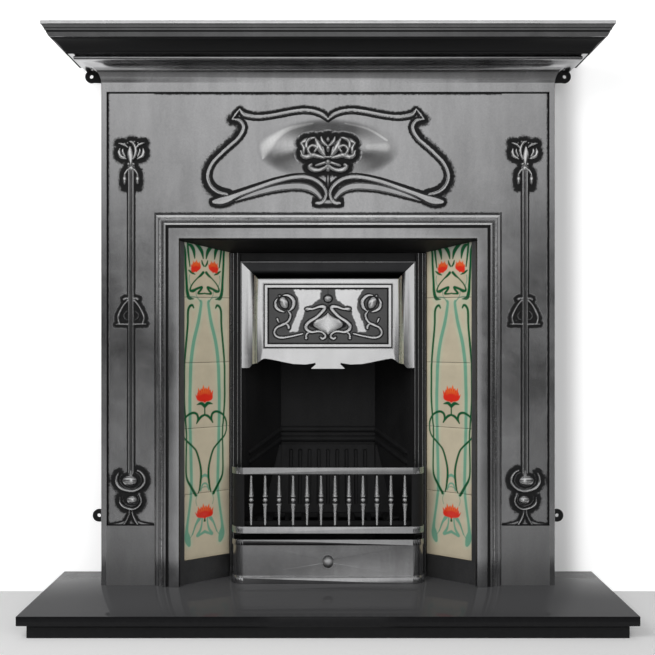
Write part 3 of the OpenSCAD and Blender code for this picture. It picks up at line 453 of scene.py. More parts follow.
def noise(tree, coordinates, scale, detail=3.0, roughness=0.55, distortion=0.0):
    made = node(tree, "ShaderNodeTexNoise", {"Scale": scale, "Detail": detail, "Roughness": roughness,
                                             "Distortion": distortion})
    join(tree, (coordinates, made.inputs["Vector"]))
    return made.outputs["Fac"]


def scaled(tree, coordinates, scale):
    made = node(tree, "ShaderNodeMapping", {"Scale": scale})
    join(tree, (coordinates, made.inputs["Vector"]))
    return made.outputs["Vector"]


def calc(tree, operation, a, b=None):
    made = node(tree, "ShaderNodeMath", operation=operation)
    for socket, value in zip(made.inputs, (a, b)):
        if isinstance(value, (int, float)):
            socket.default_value = value
        elif value is not None:
            tree.links.new(value, socket)
    return made.outputs[0]


def to_range(tree, value, low, high, to_low, to_high, smooth_ends=False):
    made = node(tree, "ShaderNodeMapRange", {"From Min": low, "From Max": high, "To Min": to_low,
                                             "To Max": to_high})
    if smooth_ends:
        made.interpolation_type = "SMOOTHSTEP"
    join(tree, (value, made.inputs["Value"]))
    return made.outputs["Result"]


def mix_colour(tree, factor, a, b, blend="MIX"):
    made = node(tree, "ShaderNodeMix", data_type="RGBA", blend_type=blend)
    for socket, value in ((made.inputs[0], factor), (made.inputs[6], a), (made.inputs[7], b)):
        if isinstance(value, (int, float)):
            socket.default_value = value
        elif isinstance(value, tuple):
            socket.default_value = (*value, 1)
        else:
            tree.links.new(value, socket)
    return made.outputs[2]


# scales of the iron's noises: clouds, upright rubbing, sand grain, flecks and the patina's ragged edge
CLOUD_SCALE, RUBBING_SCALE, SAND_SCALE, FLECK_SCALE, RAGGED_SCALE = 9.0, 1.6, 900.0, 260.0, 170.0
RUBBING_STRETCH = (14.0, 14.0, 3.2)
FRAY = 0.26


def iron_group():
    """Cast iron's surface: cloudy rubbed tone, sand grain, rubbed crests with a painted highlight, painted
    shade, and patina, in places painted shade, with a ragged edge.
    """
    group, given, out = new_group("iron_surface", [
        ("Base", "NodeSocketColor", (0.4, 0.4, 0.4, 1)), ("Patina And Painted Shade", "NodeSocketColor", (0.02, 0.02, 0.02, 1)),
        ("Mask", "NodeSocketFloat", 0.0), ("Painted Shade", "NodeSocketFloat", 0.0),
        ("Rub And Painted Highlight", "NodeSocketFloat", 0.0), ("Rubbed And Painted Highlight", "NodeSocketColor", (0.8, 0.8, 0.8, 1)),
        ("Cloud", "NodeSocketFloat", 0.3), ("Grain", "NodeSocketFloat", 0.3),
        ("Low Roughness", "NodeSocketFloat", 0.25), ("High Roughness", "NodeSocketFloat", 0.4),
    ], [("Color", "NodeSocketColor"), ("Roughness", "NodeSocketFloat"), ("Metallic", "NodeSocketFloat"),
        ("Height", "NodeSocketFloat")])
    place = node(group, "ShaderNodeTexCoord").outputs["Object"]
    cloud = noise(group, place, CLOUD_SCALE, 5.0, 0.6, 0.4)
    rubbed = noise(group, scaled(group, place, RUBBING_STRETCH), RUBBING_SCALE, 4.0, 0.6)
    sand = noise(group, place, SAND_SCALE, 2.0, 0.6)
    fleck = noise(group, place, FLECK_SCALE, 3.0, 0.7)
    ragged = noise(group, place, RAGGED_SCALE, 4.0, 0.7)
    tone = to_range(group, calc(group, "ADD", cloud, rubbed), 0.75, 1.25, -1.0, 1.0)
    speck = to_range(group, fleck, 0.35, 0.65, -0.35, 0.35)
    shade = calc(group, "ADD", 1.0, calc(group, "MULTIPLY", calc(group, "ADD", tone, speck),
                                         given.outputs["Cloud"]))
    # crests rubbed bright: partly rubbed metal, partly painted highlight
    grey = mix_colour(group, given.outputs["Rub And Painted Highlight"], given.outputs["Base"], given.outputs["Rubbed And Painted Highlight"])
    grey = mix_colour(group, 1.0, grey, shade, "MULTIPLY")
    fray = to_range(group, ragged, 0.3, 0.7, -FRAY, FRAY)
    # painted shade: where the piece's shade mark is high, the colour falls to 0.13 of itself
    shaded = to_range(group, calc(group, "ADD", given.outputs["Painted Shade"], fray), 0.35, 0.75, 0.0, 1.0, True)
    shaded = calc(group, "MULTIPLY", shaded, calc(group, "GREATER_THAN", given.outputs["Painted Shade"], 0.01))
    grey = mix_colour(group, shaded, grey, mix_colour(group, 1.0, grey, (0.13, 0.13, 0.13), "MULTIPLY"))
    edge = calc(group, "ADD", given.outputs["Mask"], fray)
    dark = to_range(group, edge, 0.16, 0.74, 0.0, 1.0, True)
    dark = calc(group, "MULTIPLY", dark, calc(group, "GREATER_THAN", given.outputs["Mask"], 0.01))
    join(group, (mix_colour(group, dark, grey, given.outputs["Patina And Painted Shade"]), out.inputs["Color"]))
    rough = node(group, "ShaderNodeMix", data_type="FLOAT")
    join(group, (to_range(group, cloud, 0.3, 0.7, 0.0, 1.0), rough.inputs[0]),
         (given.outputs["Low Roughness"], rough.inputs[2]),
         (given.outputs["High Roughness"], rough.inputs[3]))
    join(group, (calc(group, "MAXIMUM", rough.outputs[0], calc(group, "MULTIPLY", dark, 0.62)),
                 out.inputs["Roughness"]),
         (to_range(group, dark, 0.0, 1.0, 1.0, 0.35), out.inputs["Metallic"]),
         (calc(group, "ADD", calc(group, "MULTIPLY", sand, given.outputs["Grain"]),
               calc(group, "MULTIPLY", calc(group, "MULTIPLY", fleck, 1.5), given.outputs["Grain"])),
          out.inputs["Height"]))
    return group


def bare_material(name):
    material = bpy.data.materials.new(name)
    material.use_nodes = True
    material.node_tree.nodes.clear()
    return material, material.node_tree


def new_material(name):
    material, tree = bare_material(name)
    shader = node(tree, "ShaderNodeBsdfPrincipled")
    join(tree, (shader.outputs[0], node(tree, "ShaderNodeOutputMaterial").inputs["Surface"]))
    return material, tree, shader


def iron_material(name, base, low, high, cloud, grain, bump, patina, metallic=1.0):
    """One of the iron finishes, with its roughness from low to high; attributes of the piece's mesh say where
    patina lies, in places painted shade, where shade is painted, and where crests are rubbed and brightened
    as a painted highlight."""
    material, tree, shader = new_material(name)
    iron = node(tree, "ShaderNodeGroup", node_tree=bpy.data.node_groups["iron_surface"])
    for key, value in {"Base": (*base, 1), "Patina And Painted Shade": (*patina, 1), "Cloud": cloud, "Grain": grain,
                       "Low Roughness": low, "High Roughness": high}.items():
        iron.inputs[key].default_value = value
    blacking_and_shade = node(tree, "ShaderNodeAttribute", attribute_name="patina")
    shaded = node(tree, "ShaderNodeAttribute", attribute_name="tone")
    # where crests are rubbed and brightened as a painted highlight
    rubbed = node(tree, "ShaderNodeAttribute", attribute_name="rub")
    bumped = node(tree, "ShaderNodeBump", {"Strength": bump, "Distance": GRAIN_DEPTH})
    join(tree, (blacking_and_shade.outputs["Fac"], iron.inputs["Mask"]), (shaded.outputs["Fac"], iron.inputs["Painted Shade"]),
         (rubbed.outputs["Fac"], iron.inputs["Rub And Painted Highlight"]),
         (iron.outputs["Color"], shader.inputs["Base Color"]),
         (iron.outputs["Roughness"], shader.inputs["Roughness"]),
         (iron.outputs["Height"], bumped.inputs["Height"]), (bumped.outputs[0], shader.inputs["Normal"]))
    if metallic == 1.0:
        join(tree, (iron.outputs["Metallic"], shader.inputs["Metallic"]))
    else:
        shader.inputs["Metallic"].default_value = metallic
        shader.inputs["Specular IOR Level"].default_value = 0.3
    return material


GRANITE_CRYSTALS = 420.0
GRANITE_PAINTED_SHEEN = (0.118, 0.118, 0.122)


def granite_material():
    """Polished black granite with small glints; along a flat view its colour turns grey, a painted sheen, and
    it mirrors less.
    """
    material, tree, shader = new_material("polished_black_granite")
    place = node(tree, "ShaderNodeTexCoord").outputs["Object"]
    crystal = node(tree, "ShaderNodeTexVoronoi", {"Scale": GRANITE_CRYSTALS})
    join(tree, (place, crystal.inputs["Vector"]))
    glint = to_range(tree, crystal.outputs["Distance"], 0.0, 0.22, 1.0, 0.0)
    glint = calc(tree, "MULTIPLY", glint, to_range(tree, noise(tree, place, 60.0), 0.5, 0.7, 0.0, 1.0))
    stone = tuple(colours().granite)
    cloudy = mix_colour(tree, noise(tree, place, 90.0, 4.0, 0.7), stone, tuple(c * 2.2 for c in stone))
    cloudy = mix_colour(tree, calc(tree, "MULTIPLY", glint, 0.3), cloudy, (0.10, 0.10, 0.105))
    # painted sheen: seen along a flat view, the colour mixes toward grey
    flat = node(tree, "ShaderNodeLayerWeight", {"Blend": 0.5}).outputs["Facing"]
    flat = to_range(tree, flat, 0.35, 0.75, 0.0, 1.0, True)
    join(tree, (mix_colour(tree, flat, cloudy, mix_colour(tree, 0.75, cloudy, GRANITE_PAINTED_SHEEN)),
                shader.inputs["Base Color"]),
         (to_range(tree, noise(tree, place, 30.0), 0.3, 0.7, 0.05, 0.09), shader.inputs["Roughness"]),
         (to_range(tree, flat, 0.0, 1.0, 0.14, 0.011), shader.inputs["Specular IOR Level"]))
    return material


def glaze_material():
    """Painted tile: the piece's paint attribute holds the colours, under a clear glossy glaze."""
    material, tree, shader = new_material("painted_glaze")
    place = node(tree, "ShaderNodeTexCoord").outputs["Object"]
    paint = node(tree, "ShaderNodeAttribute", attribute_name="paint")
    pool = to_range(tree, noise(tree, place, 26.0, 3.0), 0.3, 0.7, 0.94, 1.05)
    ripple = noise(tree, place, 48.0, 2.0)
    bumped = node(tree, "ShaderNodeBump", {"Strength": 0.25, "Distance": 0.0015})
    join(tree, (mix_colour(tree, 1.0, paint.outputs["Color"], pool, "MULTIPLY"), shader.inputs["Base Color"]),
         (ripple, bumped.inputs["Height"]), (bumped.outputs[0], shader.inputs["Normal"]),
         (to_range(tree, noise(tree, place, 120.0), 0.3, 0.7, 0.10, 0.18), shader.inputs["Roughness"]))
    shader.inputs["Coat Weight"].default_value = 0.4
    shader.inputs["Coat Roughness"].default_value = 0.04
    return material


def steel_material():
    """Grey sheet steel with faint lines along its length."""
    material, tree, shader = new_material("sheet_steel")
    place = node(tree, "ShaderNodeTexCoord").outputs["Object"]
    drawn = noise(tree, scaled(tree, place, (3.0, 60.0, 60.0)), 6.0, 4.0)
    join(tree, (mix_colour(tree, drawn, (0.14, 0.14, 0.145), (0.30, 0.30, 0.31)),
                shader.inputs["Base Color"]),
         (to_range(tree, drawn, 0.3, 0.7, 0.35, 0.55), shader.inputs["Roughness"]))
    shader.inputs["Metallic"].default_value = 0.9
    return material


FINISHES = {}
GRAIN_DEPTH = 0.0006


def make_finishes():
    """Every finish; an iron one has its colour, roughness low and high, cloud, grain and bump."""
    iron_group()
    c = colours()
    iron, hood, patina, soot = tuple(c.iron), tuple(c.hood), tuple(c.patina), tuple(c.soot)
    FINISHES.update(
        polished_iron=iron_material("polished_cast_iron", iron, 0.16, 0.25, 0.13, 0.12, 0.10, patina),
        bright_iron=iron_material("burnished_hood_iron", hood, 0.20, 0.30, 0.05, 0.12, 0.08, patina),
        # painted highlight: the shelf's nose and the moulding's top beads take the hood's bright colour
        rubbed_nose=iron_material("painted_highlight_iron", hood, 0.22, 0.34, 0.12, 0.2, 0.1, patina),
        arch_bead=iron_material("rubbed_beads", (0.30, 0.30, 0.305), 0.22, 0.32, 0.1, 0.1, 0.08, patina),
        knob_iron=iron_material("rubbed_knob_iron", hood, 0.42, 0.5, 0.05, 0.1, 0.05, patina),
        tray_iron=iron_material("blacked_tray_iron", (0.27, 0.27, 0.275), 0.40, 0.52, 0.15, 0.3, 0.2, patina),
        foot_iron=iron_material("dull_foot_iron", iron, 0.42, 0.55, 0.12, 0.2, 0.1, patina),
        # painted shade: the hood's sloping top is made nearly black
        hood_top=iron_material("blacked_hood_top", (0.045, 0.045, 0.047), 0.25, 0.4, 0.1, 0.2, 0.1, patina),
        dark_iron=iron_material("rubbed_dark_iron", (0.13, 0.13, 0.135), 0.30, 0.45, 0.15, 0.5, 0.35, patina,
                                metallic=0.85),
        black_iron=iron_material("blacked_iron", soot, 0.52, 0.68, 0.2, 0.9, 0.6, patina, metallic=0.1),
        pan_steel=steel_material(),
        granite=granite_material(),
        glazed_tile=glaze_material(),
    )


# ------------------------------------------------------------------ ornament, in millimetres

# the leg's flower, as x from the stem, height and width; the left leg's, turned over for the right
LEG_STROKES = [
    ([(-9, 1064, 4), (-16, 1069, 6), (-24, 1071.5, 6), (-32, 1073, 3)], 5.0),
    ([(-29, 1061, 3), (-31.5, 1052, 7), (-27, 1043, 8), (-13, 1037.5, 4)], 4.2),
    ([(-21, 1060, 3), (-21.5, 1053, 6), (-16, 1043, 5)], 5.0),
    ([(-2, 1064, 5), (-2.5, 1050, 12), (-1, 1036, 12), (0, 1024, 6)], 6.2),
    ([(-3, 1077, 4), (4, 1074.5, 7), (10, 1066, 7), (12.5, 1052, 7), (7, 1037, 4)], 5.6),
    ([(14, 1062, 3), (20, 1069, 6), (27, 1072, 6), (35, 1074, 3)], 5.0),
    ([(32, 1061, 3), (33, 1052, 7), (29.5, 1044, 8), (17, 1037, 4)], 4.2),
    ([(23, 1060, 3), (23, 1053, 5), (18, 1043, 4)], 4.8),
    ([(4, 1014, 4), (9, 1012, 5), (14, 1006, 5), (17, 1001, 4)], 3.6),
    ([(-4, 1014, 4), (-9, 1012, 5), (-14, 1006, 5), (-17, 1001, 4)], 3.6),
]
LEG_DOTS = [
    (-17, 1078, 2.6, 2.6, 4.0), (-9, 1079, 2.8, 2.8, 4.2), (1, 1083, 2.8, 2.8, 4.2), (9, 1082, 2.6, 2.6, 4.2),
    (18, 1079, 2.4, 2.4, 4.0), (-6.6, 1025, 4, 4, 4.4), (6.6, 1025, 4, 4, 4.4), (0, 1016, 6, 7, 4.0),
    (-17, 989, 4.8, 12.5, 5.0), (17, 989, 4.8, 12.5, 5.0),
]
# the leg's stem: its foot and head, its width, and how far its two ribs lie from its middle
STEM_Z = (310, 1018)
STEM_W = 15.5
STEM_RIB_X = 4.9
# the heart low on the stem, for the left half, and the two crescents at the stem's foot
HEART = [
    [(-8, 714, 5), (-12, 714, 6), (-16, 712, 7)],
    [(-8, 709, 5), (-15, 701, 5), (-22, 690, 5.5), (-28, 677, 6), (-30, 667, 6), (-27, 656, 5)],
]
HEART_EYE = [(-10, 684, 2.5), (-15, 679, 3), (-17, 673, 3), (-14, 667, 3), (-9, 664, 2.5)]
HEART_FOOT = [(-34, 654, 4), (-22, 654.5, 5), (-8, 654, 5)]
CRESCENT = [
    (-29, 309, 4), (-34, 298, 6.5), (-33, 287, 7.5), (-26, 277, 8), (-14, 270, 8.5), (0, 267.5, 8.5),
    (13, 270, 8.5), (25, 278, 8), (31.5, 289, 7.5), (31, 300, 6.5), (24, 311, 5.5), (15, 315.5, 5)
]
LOW_CRESCENT = [
    (-26, 253, 3), (-25, 241, 5), (-16, 231, 6.5), (0, 225.5, 7), (12, 228, 6.5), (21, 236, 6), (24, 247, 5),
    (20.5, 257, 4)
]
FOOT_LEAF = [(-3, 224, 4), (-4.5, 213, 4.5), (-9, 202, 5), (-16, 190, 5.5)]

# the cartouche's rails, for the left half
TOP_RAIL = [
    (0, 1128, 5), (-8, 1136, 8), (-18, 1142, 9), (-36, 1147.5, 9), (-58, 1149, 9), (-84, 1146, 9),
    (-110, 1141, 9), (-138, 1136, 9), (-165, 1134, 9.5), (-190, 1138, 10), (-199, 1144, 8), (-204, 1152, 3)
]
SPIKE = [(-204, 1152, 3), (-213, 1141, 6), (-222, 1128, 3)]
SIDE_RAIL = [
    (-222, 1128, 3), (-206, 1126, 8), (-198, 1118, 9), (-195.5, 1108, 9), (-200, 1096, 9), (-211, 1081, 8.5),
    (-226, 1068, 8.5), (-247, 1049, 8.5), (-266, 1029, 8.5), (-276, 1009, 9), (-278, 991, 9), (-271, 974, 9),
    (-258, 962, 9), (-245, 957, 8), (-233, 955, 6)
]
BOTTOM_RAIL = [
    (-264, 937, 10), (-250, 939, 18), (-234, 943, 18), (-217, 950, 13), (-200, 957, 10.5), (-175, 966, 10),
    (-150, 975, 9.5), (-127, 983, 9.5), (-104, 989, 9.5), (-82, 993.5, 9.5), (-59, 995, 9.5), (-43, 993, 9.5),
    (-30, 988, 9.5), (-17, 979, 9), (-8, 968, 8.5), (-4.5, 956, 8), (-8, 943, 8), (-16, 935, 9), (-27, 934, 7)
]
WEB = [
    (-214, 940, 3), (-185, 951, 10), (-150, 962, 14), (-110, 971, 17), (-70, 974, 18), (-45, 970, 17),
    (-28, 960, 14), (-17, 947, 10)
]
MIDDLE = [(0, 1000, 3), (0, 988, 7), (0, 975, 4)]
# the frieze's flower, as strokes of its left half and bosses on its middle
EMBLEM = [
    ([(-10, 1038, 4), (-22, 1041, 6), (-36, 1044, 7), (-50, 1040, 7), (-60, 1044, 5), (-63, 1054, 3)], 5.0),
    ([(-40, 1047, 4), (-46, 1055, 4.5), (-41, 1065, 4.5), (-32, 1066, 4.5), (-27, 1059, 4),
      (-31, 1053, 3.5)], 4.6),
    ([(-56, 1050, 4), (-57, 1062, 5), (-62, 1072, 4)], 4.4),
    ([(-50, 1062, 4), (-49, 1074, 5), (-40, 1083, 5), (-30, 1085, 3)], 5.0),
    ([(-62, 1073, 4), (-52, 1079, 6), (-44, 1083, 4)], 4.0),
    ([(-8, 1044, 4), (-17, 1056, 8), (-23, 1070, 8), (-29, 1082, 3)], 5.4),
    ([(-3, 1066, 3), (-11, 1074, 6), (-16, 1086, 3)], 4.6),
    ([(-6, 1040, 3), (-10, 1052, 4), (-12, 1062, 3)], 4.2),
    ([(-2, 1020, 4), (-12, 1013, 5.5), (-24, 1010, 6), (-36, 1012, 7), (-43, 1018, 6), (-38, 1023, 4)], 5.0),
    ([(-8, 1027, 4), (-20, 1023, 4), (-28, 1021, 3)], 3.8),
]
EMBLEM_DOTS = [
    (0, 1081, 5, 7.5, 6.2), (0, 1060, 4.5, 11, 6.0), (0, 1039.5, 14, 3.6, 5.2), (0, 1028, 7, 7, 6.0),
    (0, 1012, 5, 6, 4.0),
]
# the swelling behind the flower: its middle and half its width and height, and the streaks of painted
# highlight on it
DOME = (0, 1060, 168, 74)
DOME_PAINTED_HIGHLIGHTS = [
    ([(-151, 1038, 6), (-147, 1050, 24), (-140, 1068, 42), (-119, 1089, 26), (-88, 1107, 16),
      (-36, 1119, 8)], 1.0),
    ([(-120, 1046, 30), (-96, 1052, 40), (-84, 1056, 20)], 0.5),
    ([(40, 1119, 6), (92, 1106, 9), (136, 1080, 8)], 0.8), ([(92, 1064, 26), (132, 1064, 34)], 0.75),
]


def at(line, x, side=1):
    """A drawn line set about x, turned over where side is -1."""
    return np.array([(x + side * p[0], *p[1:]) for p in line], float)


# how much narrower than drawn the leg's flower is made, and how much its top beads are lowered
FLOWER_NARROWED = 0.88
TOP_BEADS = (1070, 5)
# how far the blacking runs in from a face's outer edges
EDGE_STAIN = 2.5


def leg_face(side):
    """Leg of the casting with its tall stem, flower, heart and crescents; side is -1 on the left."""
    low, high = MOULDING_HALF_W + 0.5, BORDER_IN - GROOVE[0]
    xs = lines_with_detail(low, high, 1.0, 6, (STEM_X - 44, STEM_X + 42))
    zs = lines_with_detail(FOOT_Z + GROOVE[0], BAND_Z - GROOVE[0], 1.0, 9, (FOOT_Z + GROOVE[0], 332),
                           (638, 730), (964, 1098))
    xs = xs if side > 0 else -xs[::-1]
    face = Face(xs, zs)
    scale = sizes().relief / MM / DRAWN_RELIEF
    halo = sizes().halo / MM
    turn = 1 if side < 0 else -1
    x = side * STEM_X
    foot, head = STEM_Z
    face.stroke(at([(0, foot, STEM_W), (0, head, STEM_W)], x), 2.0 * scale, "flat", 3.0)
    for offset in (-STEM_RIB_X, STEM_RIB_X):
        rib = at([(offset, foot, 5.2), (offset, head - 4, 4.8)], x)
        face.stroke(rib, 4.6 * scale, "round", 2.0, 0.9, 0.35)
    hollow = (np.abs(face.x - x) < 1.7) & (face.z > foot + 6) & (face.z < head - 8)
    for line, rise in LEG_STROKES:
        slim = curve_through(at([(FLOWER_NARROWED * px, *rest) for px, *rest in line], x, turn))
        face.stroke(slim * (1, 1, 1.2), rise * scale, "round", halo * 1.5, rub=1.0)
    for cx, cz, rx, rz, rise in LEG_DOTS:
        down = TOP_BEADS[1] if cz > TOP_BEADS[0] else 0
        face.dot(x + turn * cx * FLOWER_NARROWED, cz - down, rx, rz, rise * scale, halo=halo * 1.3, rub=0.9)
    for s in (-1, 1):
        for line in HEART + [HEART_FOOT]:
            face.stroke(curve_through(at(line, x, s)), 4.6 * scale, "round", halo, rub=0.5)
        face.stroke(curve_through(at(HEART_EYE, x, s)), 3.2 * scale, "round", 4.0)
        face.stroke(curve_through(at(FOOT_LEAF, x, s)), 4.4 * scale, "round", halo, rub=0.3)
        face.stroke(at([(16, 196, 3), (30, 190, 6), (50, 188, 3)], x, s), 0.0, "flat", halo * 0.7, 0.9)
    for line in (CRESCENT, LOW_CRESCENT):
        face.stroke(curve_through(at(line, x, turn)), 5.2 * scale, "round", halo * 1.5, rub=0.5)
        slim = [(px * 0.74, (pz - line[5][1]) * 0.78 + line[5][1] + 5.5, 2.4) for px, pz, _ in line]
        face.stroke(curve_through(at(slim, x, turn)), 3.4 * scale, "round", 3.0)
    face.dot(x - turn * 3, 291.5, 18, 13.5, 6.8 * scale, halo=halo, rub=0.45)
    face.dot(x + turn * 2, 247, 13, 10.5, 6.4 * scale, halo=halo, rub=0.45)
    face.dot(x + turn * 19, 260.5, 4, 4, 4.6 * scale, halo=4)
    # the hollow between the stem's two ribs is black, and the ground between the heart's sides is stained
    face.clean[hollow] = 0.2
    face.dark[hollow] = 1.0
    inside = np.hypot((face.x - x) / 24, (face.z - 678) / 24) < 1
    face.dark = np.maximum(face.dark, inside * 0.8)
    edge = np.minimum(np.abs(np.abs(face.x) - high), face.z - face.zs[0])
    face.dark = np.maximum(face.dark, 0.75 * np.clip(1 - edge / EDGE_STAIN, 0, 1))
    name = "leg_face_left" if side < 0 else "leg_face_right"
    return sheet(name, face.points(FIELD_Y), patina=face.patina(), rub=face.rub)


def cartouche_outline():
    """The closed line along the middle of the cartouche's rails."""
    left = np.concatenate([curve_through(p)[:, :2] for p in (TOP_RAIL, SPIKE, SIDE_RAIL[:-1])])
    bottom = curve_through(BOTTOM_RAIL[4:16])[:, :2]
    half = np.concatenate([left, bottom])
    return np.concatenate([half, half[::-1] * (-1, 1)])


def inside_outline(x, z, outline):
    """Which points lie inside a closed outline."""
    inside = np.zeros(x.shape, bool)
    ax, az = outline[-1]
    for bx, bz in outline:
        crosses = (az > z) != (bz > z)
        if az != bz:
            inside ^= crosses & (x < (bx - ax) * (z - az) / (bz - az) + ax)
        ax, az = bx, bz
    return inside


def frieze_face(side):
    """Half of the field over the opening, with the cartouche, its swelling with painted highlights and sheen,
    and the flower.
    """
    xs = lines_with_detail(0, MOULDING_HALF_W + 0.5, 1.05, 8, (0, 292))
    xs = xs if side > 0 else -xs[::-1]
    zs = lines_with_detail(MOULDING_TOP, BAND_Z - GROOVE[0], 1.05, 6, (916, 1166))
    face = Face(xs, zs)
    scale = sizes().relief / MM / DRAWN_RELIEF
    halo = sizes().halo / MM * 1.15
    for s in (-1, 1):
        for line in (TOP_RAIL, SPIKE, SIDE_RAIL, BOTTOM_RAIL):
            rail = curve_through(at(line, 0, s))
            face.stroke(rail * (1, 1, 1.2), 5.4 * scale, "flat", halo * 0.8, rub=0.25)
            if line in (SPIKE, SIDE_RAIL):
                # the blacking spreads widest outside the side rails
                wide = 0.75 + 0.75 * np.clip((1120 - rail[:, 1].mean()) / 60, 0, 1)
                face.stroke(rail, 0.0, "flat", halo * wide, 0.9)
        face.stroke(curve_through(at(WEB, 0, s)), 2.6 * scale, "flat", halo * 0.6, 0.9)
    inner = inside_outline(face.x, face.z, cartouche_outline())
    face.stroke(curve_through(at(MIDDLE, 0)), 3.0 * scale, "round", 3)
    face.dot(0, 937, 25, 6.0, 4.8 * scale, form="flat", halo=halo)
    # inside the cartouche the blacking keeps close to the rails, and spreads a little near its foot
    kept = 0.28
    spread = smoothstep(1010, 960, face.z) * 0.35
    face.dark = np.where(inner, np.clip((face.dark - (1 - kept) + spread) / kept, 0, 1), face.dark)
    cx, cz, rx, rz = DOME
    r = np.hypot((face.x - cx) / rx, (face.z - cz) / rz)
    swell = sizes().swelling / MM * np.clip(1 - r ** 2, 0, 1) ** 1.8 * inner
    flower = Face(xs, zs)
    for s in (-1, 1):
        for line, rise in EMBLEM:
            broad = curve_through(at(line, 0, s)) * (1, 1, 1.9)
            flower.stroke(broad, rise * scale, "round", halo * 1.2, rub=0.9)
    for dx, dz, ex, ez, rise in EMBLEM_DOTS:
        flower.dot(dx, dz, ex, ez, rise * scale, halo=halo * 1.2, rub=0.9)
    face.dark = np.maximum(face.dark, flower.dark)
    face.clean = np.maximum(face.clean, flower.clean)
    # painted highlight: bright streaks where the swelling's reflections fall, and a painted sheen over its
    # middle
    for streak, level in DOME_PAINTED_HIGHLIGHTS:
        face.paint_highlight(curve_through(at(streak, 0)), level)
    shine = np.maximum(face.rub, 0.35 * smoothstep(1.0, 0.5, r) * inner)
    shine = shine * (1 - np.clip(flower.dark * 3, 0, 1))
    face.rub = np.maximum(np.where(inner & (r < 1.3), shine, face.rub), flower.rub)
    face.height = np.maximum(face.height, swell + flower.height - 1.2 * smoothstep(0.2, 1, flower.dark))
    for edge, level, reach in ((BAND_Z - GROOVE[0] - face.z, 0.75, EDGE_STAIN),
                               (face.z - MOULDING_TOP, 0.8, 2.2)):
        face.dark = np.maximum(face.dark, level * np.clip(1 - edge / reach, 0, 1))
    name = "frieze_left" if side < 0 else "frieze_right"
    return sheet(name, face.points(FIELD_Y), patina=face.patina(), rub=face.rub)


# ------------------------------------------------------------------ mouldings

def bend(cx, cy, rx, ry, start, end, n=10):
    """Points on an arc from one angle to another, in degrees."""
    angle = np.radians(np.linspace(start, end, n + 1))
    return [(cx + rx * math.cos(a), cy + ry * math.sin(a)) for a in angle]


def opening_section():
    """Section of the opening's frame and moulding, out from the frame's edge and forward of the field."""
    stretches = [
        ([(-24, 10), (-20, 10), (-20, 15), (-3, 15), (-3, -8), (36, -8)], 0.0),
        ([(36, 0)], 0.9),
        ([(35.4, 2.0), (33.6, 3.4)], 0.0), ([(32.4, 4.6), (31.8, 6.6)], 0.8),
        (bend(29.8, 8.6, 1.6, 1.6, 0, 80, 4), 0.0), (bend(25.8, 9.2, 1.4, 1.2, 90, 170, 4), 0.0),
        ([(24.0, 8.2)], 0.7),
        (bend(25.5, 18.6, 12.5, 10.2, 262, 190, 14), 0.3),
        (bend(10.9, 17.6, 1.3, 1.4, 10, 90, 4), 0.0), (bend(8.2, 17.8, 1.4, 1.4, 90, 170, 4), 0.0),
        ([(6.4, 16.0), (5.8, 15.3), (1.6, 15.3), (1.0, 16.0)], 1.0),
        (bend(-1.0, 20.8, 1.2, 1.2, 0, 90, 4), 0.0), ([(-12, 22.3)], 0.0),
        (bend(-22.8, 20.8, 1.2, 1.2, 90, 180, 4), 0.0),
    ]
    points = np.array([p for stretch, _ in stretches for p in stretch], float)
    marks = np.array([mark for stretch, mark in stretches for _ in stretch])
    return points, marks


# the beads along the moulding's top that take a painted highlight: nearest and farthest distance out, least
# height over the field
HIGHLIGHTED_BEADS = [(24.6, 31.2, 8.8), (7.0, 12.0, 18.0)]


def opening_moulding():
    """The frame and moulding round the opening, carried up, across and down, with a painted highlight on its
    beads' tops.
    """
    section, marks = opening_section()
    u, v = section.T
    y = FIELD_Y - v

    def upright(s, z):
        return np.stack([s * (FRAME_HALF_W + u), y, np.full_like(u, z) if np.isscalar(z) else z], axis=1)
    stations = [upright(-1, HEARTH_TOP), upright(-1, FRAME_TOP + u), upright(1, FRAME_TOP + u),
                upright(1, HEARTH_TOP)]
    obj = run("opening_moulding", np.array(stations), marks)
    set_piece(obj, "polished_iron", nodes=["front_casting"])
    second_finish(obj, "rubbed_nose", lambda centre, _: any(
        near < centre.z - FRAME_TOP < far and FIELD_Y - centre.y > least
        for near, far, least in HIGHLIGHTED_BEADS))


def side_border(s):
    """Upright border of the casting with its blacked groove, running round onto the side."""
    r = sizes().arris / MM
    back = FLANGE_FRONT - 0.02
    ring = [(HALF_W, back)] + bend(HALF_W - r, BORDER_Y + r, r, r, 0, -90, 5)
    ring += bend(BORDER_IN + r, BORDER_Y + r, r, r, -90, -180, 5)
    ring += [(BORDER_IN, FIELD_Y + GROOVE[1]), (BORDER_IN - GROOVE[0], FIELD_Y + GROOVE[1]),
             (BORDER_IN - GROOVE[0], PLATE_BACK), (HALF_W - WALL, PLATE_BACK), (HALF_W - WALL, back)]
    marks = np.zeros(len(ring))
    marks[12:16] = 1.0
    return straight_run("side_border_left" if s < 0 else "side_border_right", np.array(ring) * (s, 1), marks,
                        2, (HEARTH_TOP, CORNICE_Z))


def groove_marks(ring):
    """The groove, at a section's first three points, is blacked."""
    return np.arange(len(ring)) < 3


def top_band():
    """Plain band under the cornice, with the groove below it."""
    r = sizes().arris / MM
    ring = [(FIELD_Y + GROOVE[1], BAND_Z - GROOVE[0]), (FIELD_Y + GROOVE[1], BAND_Z)]
    ring += bend(BORDER_Y + r, BAND_Z + r, r, r, 270, 180, 5)
    ring += [(BORDER_Y, CORNICE_Z), (PLATE_BACK, CORNICE_Z), (PLATE_BACK, BAND_Z - GROOVE[0])]
    return straight_run("frieze_band", ring, groove_marks(ring), 0, (-BORDER_IN - 1, BORDER_IN + 1))


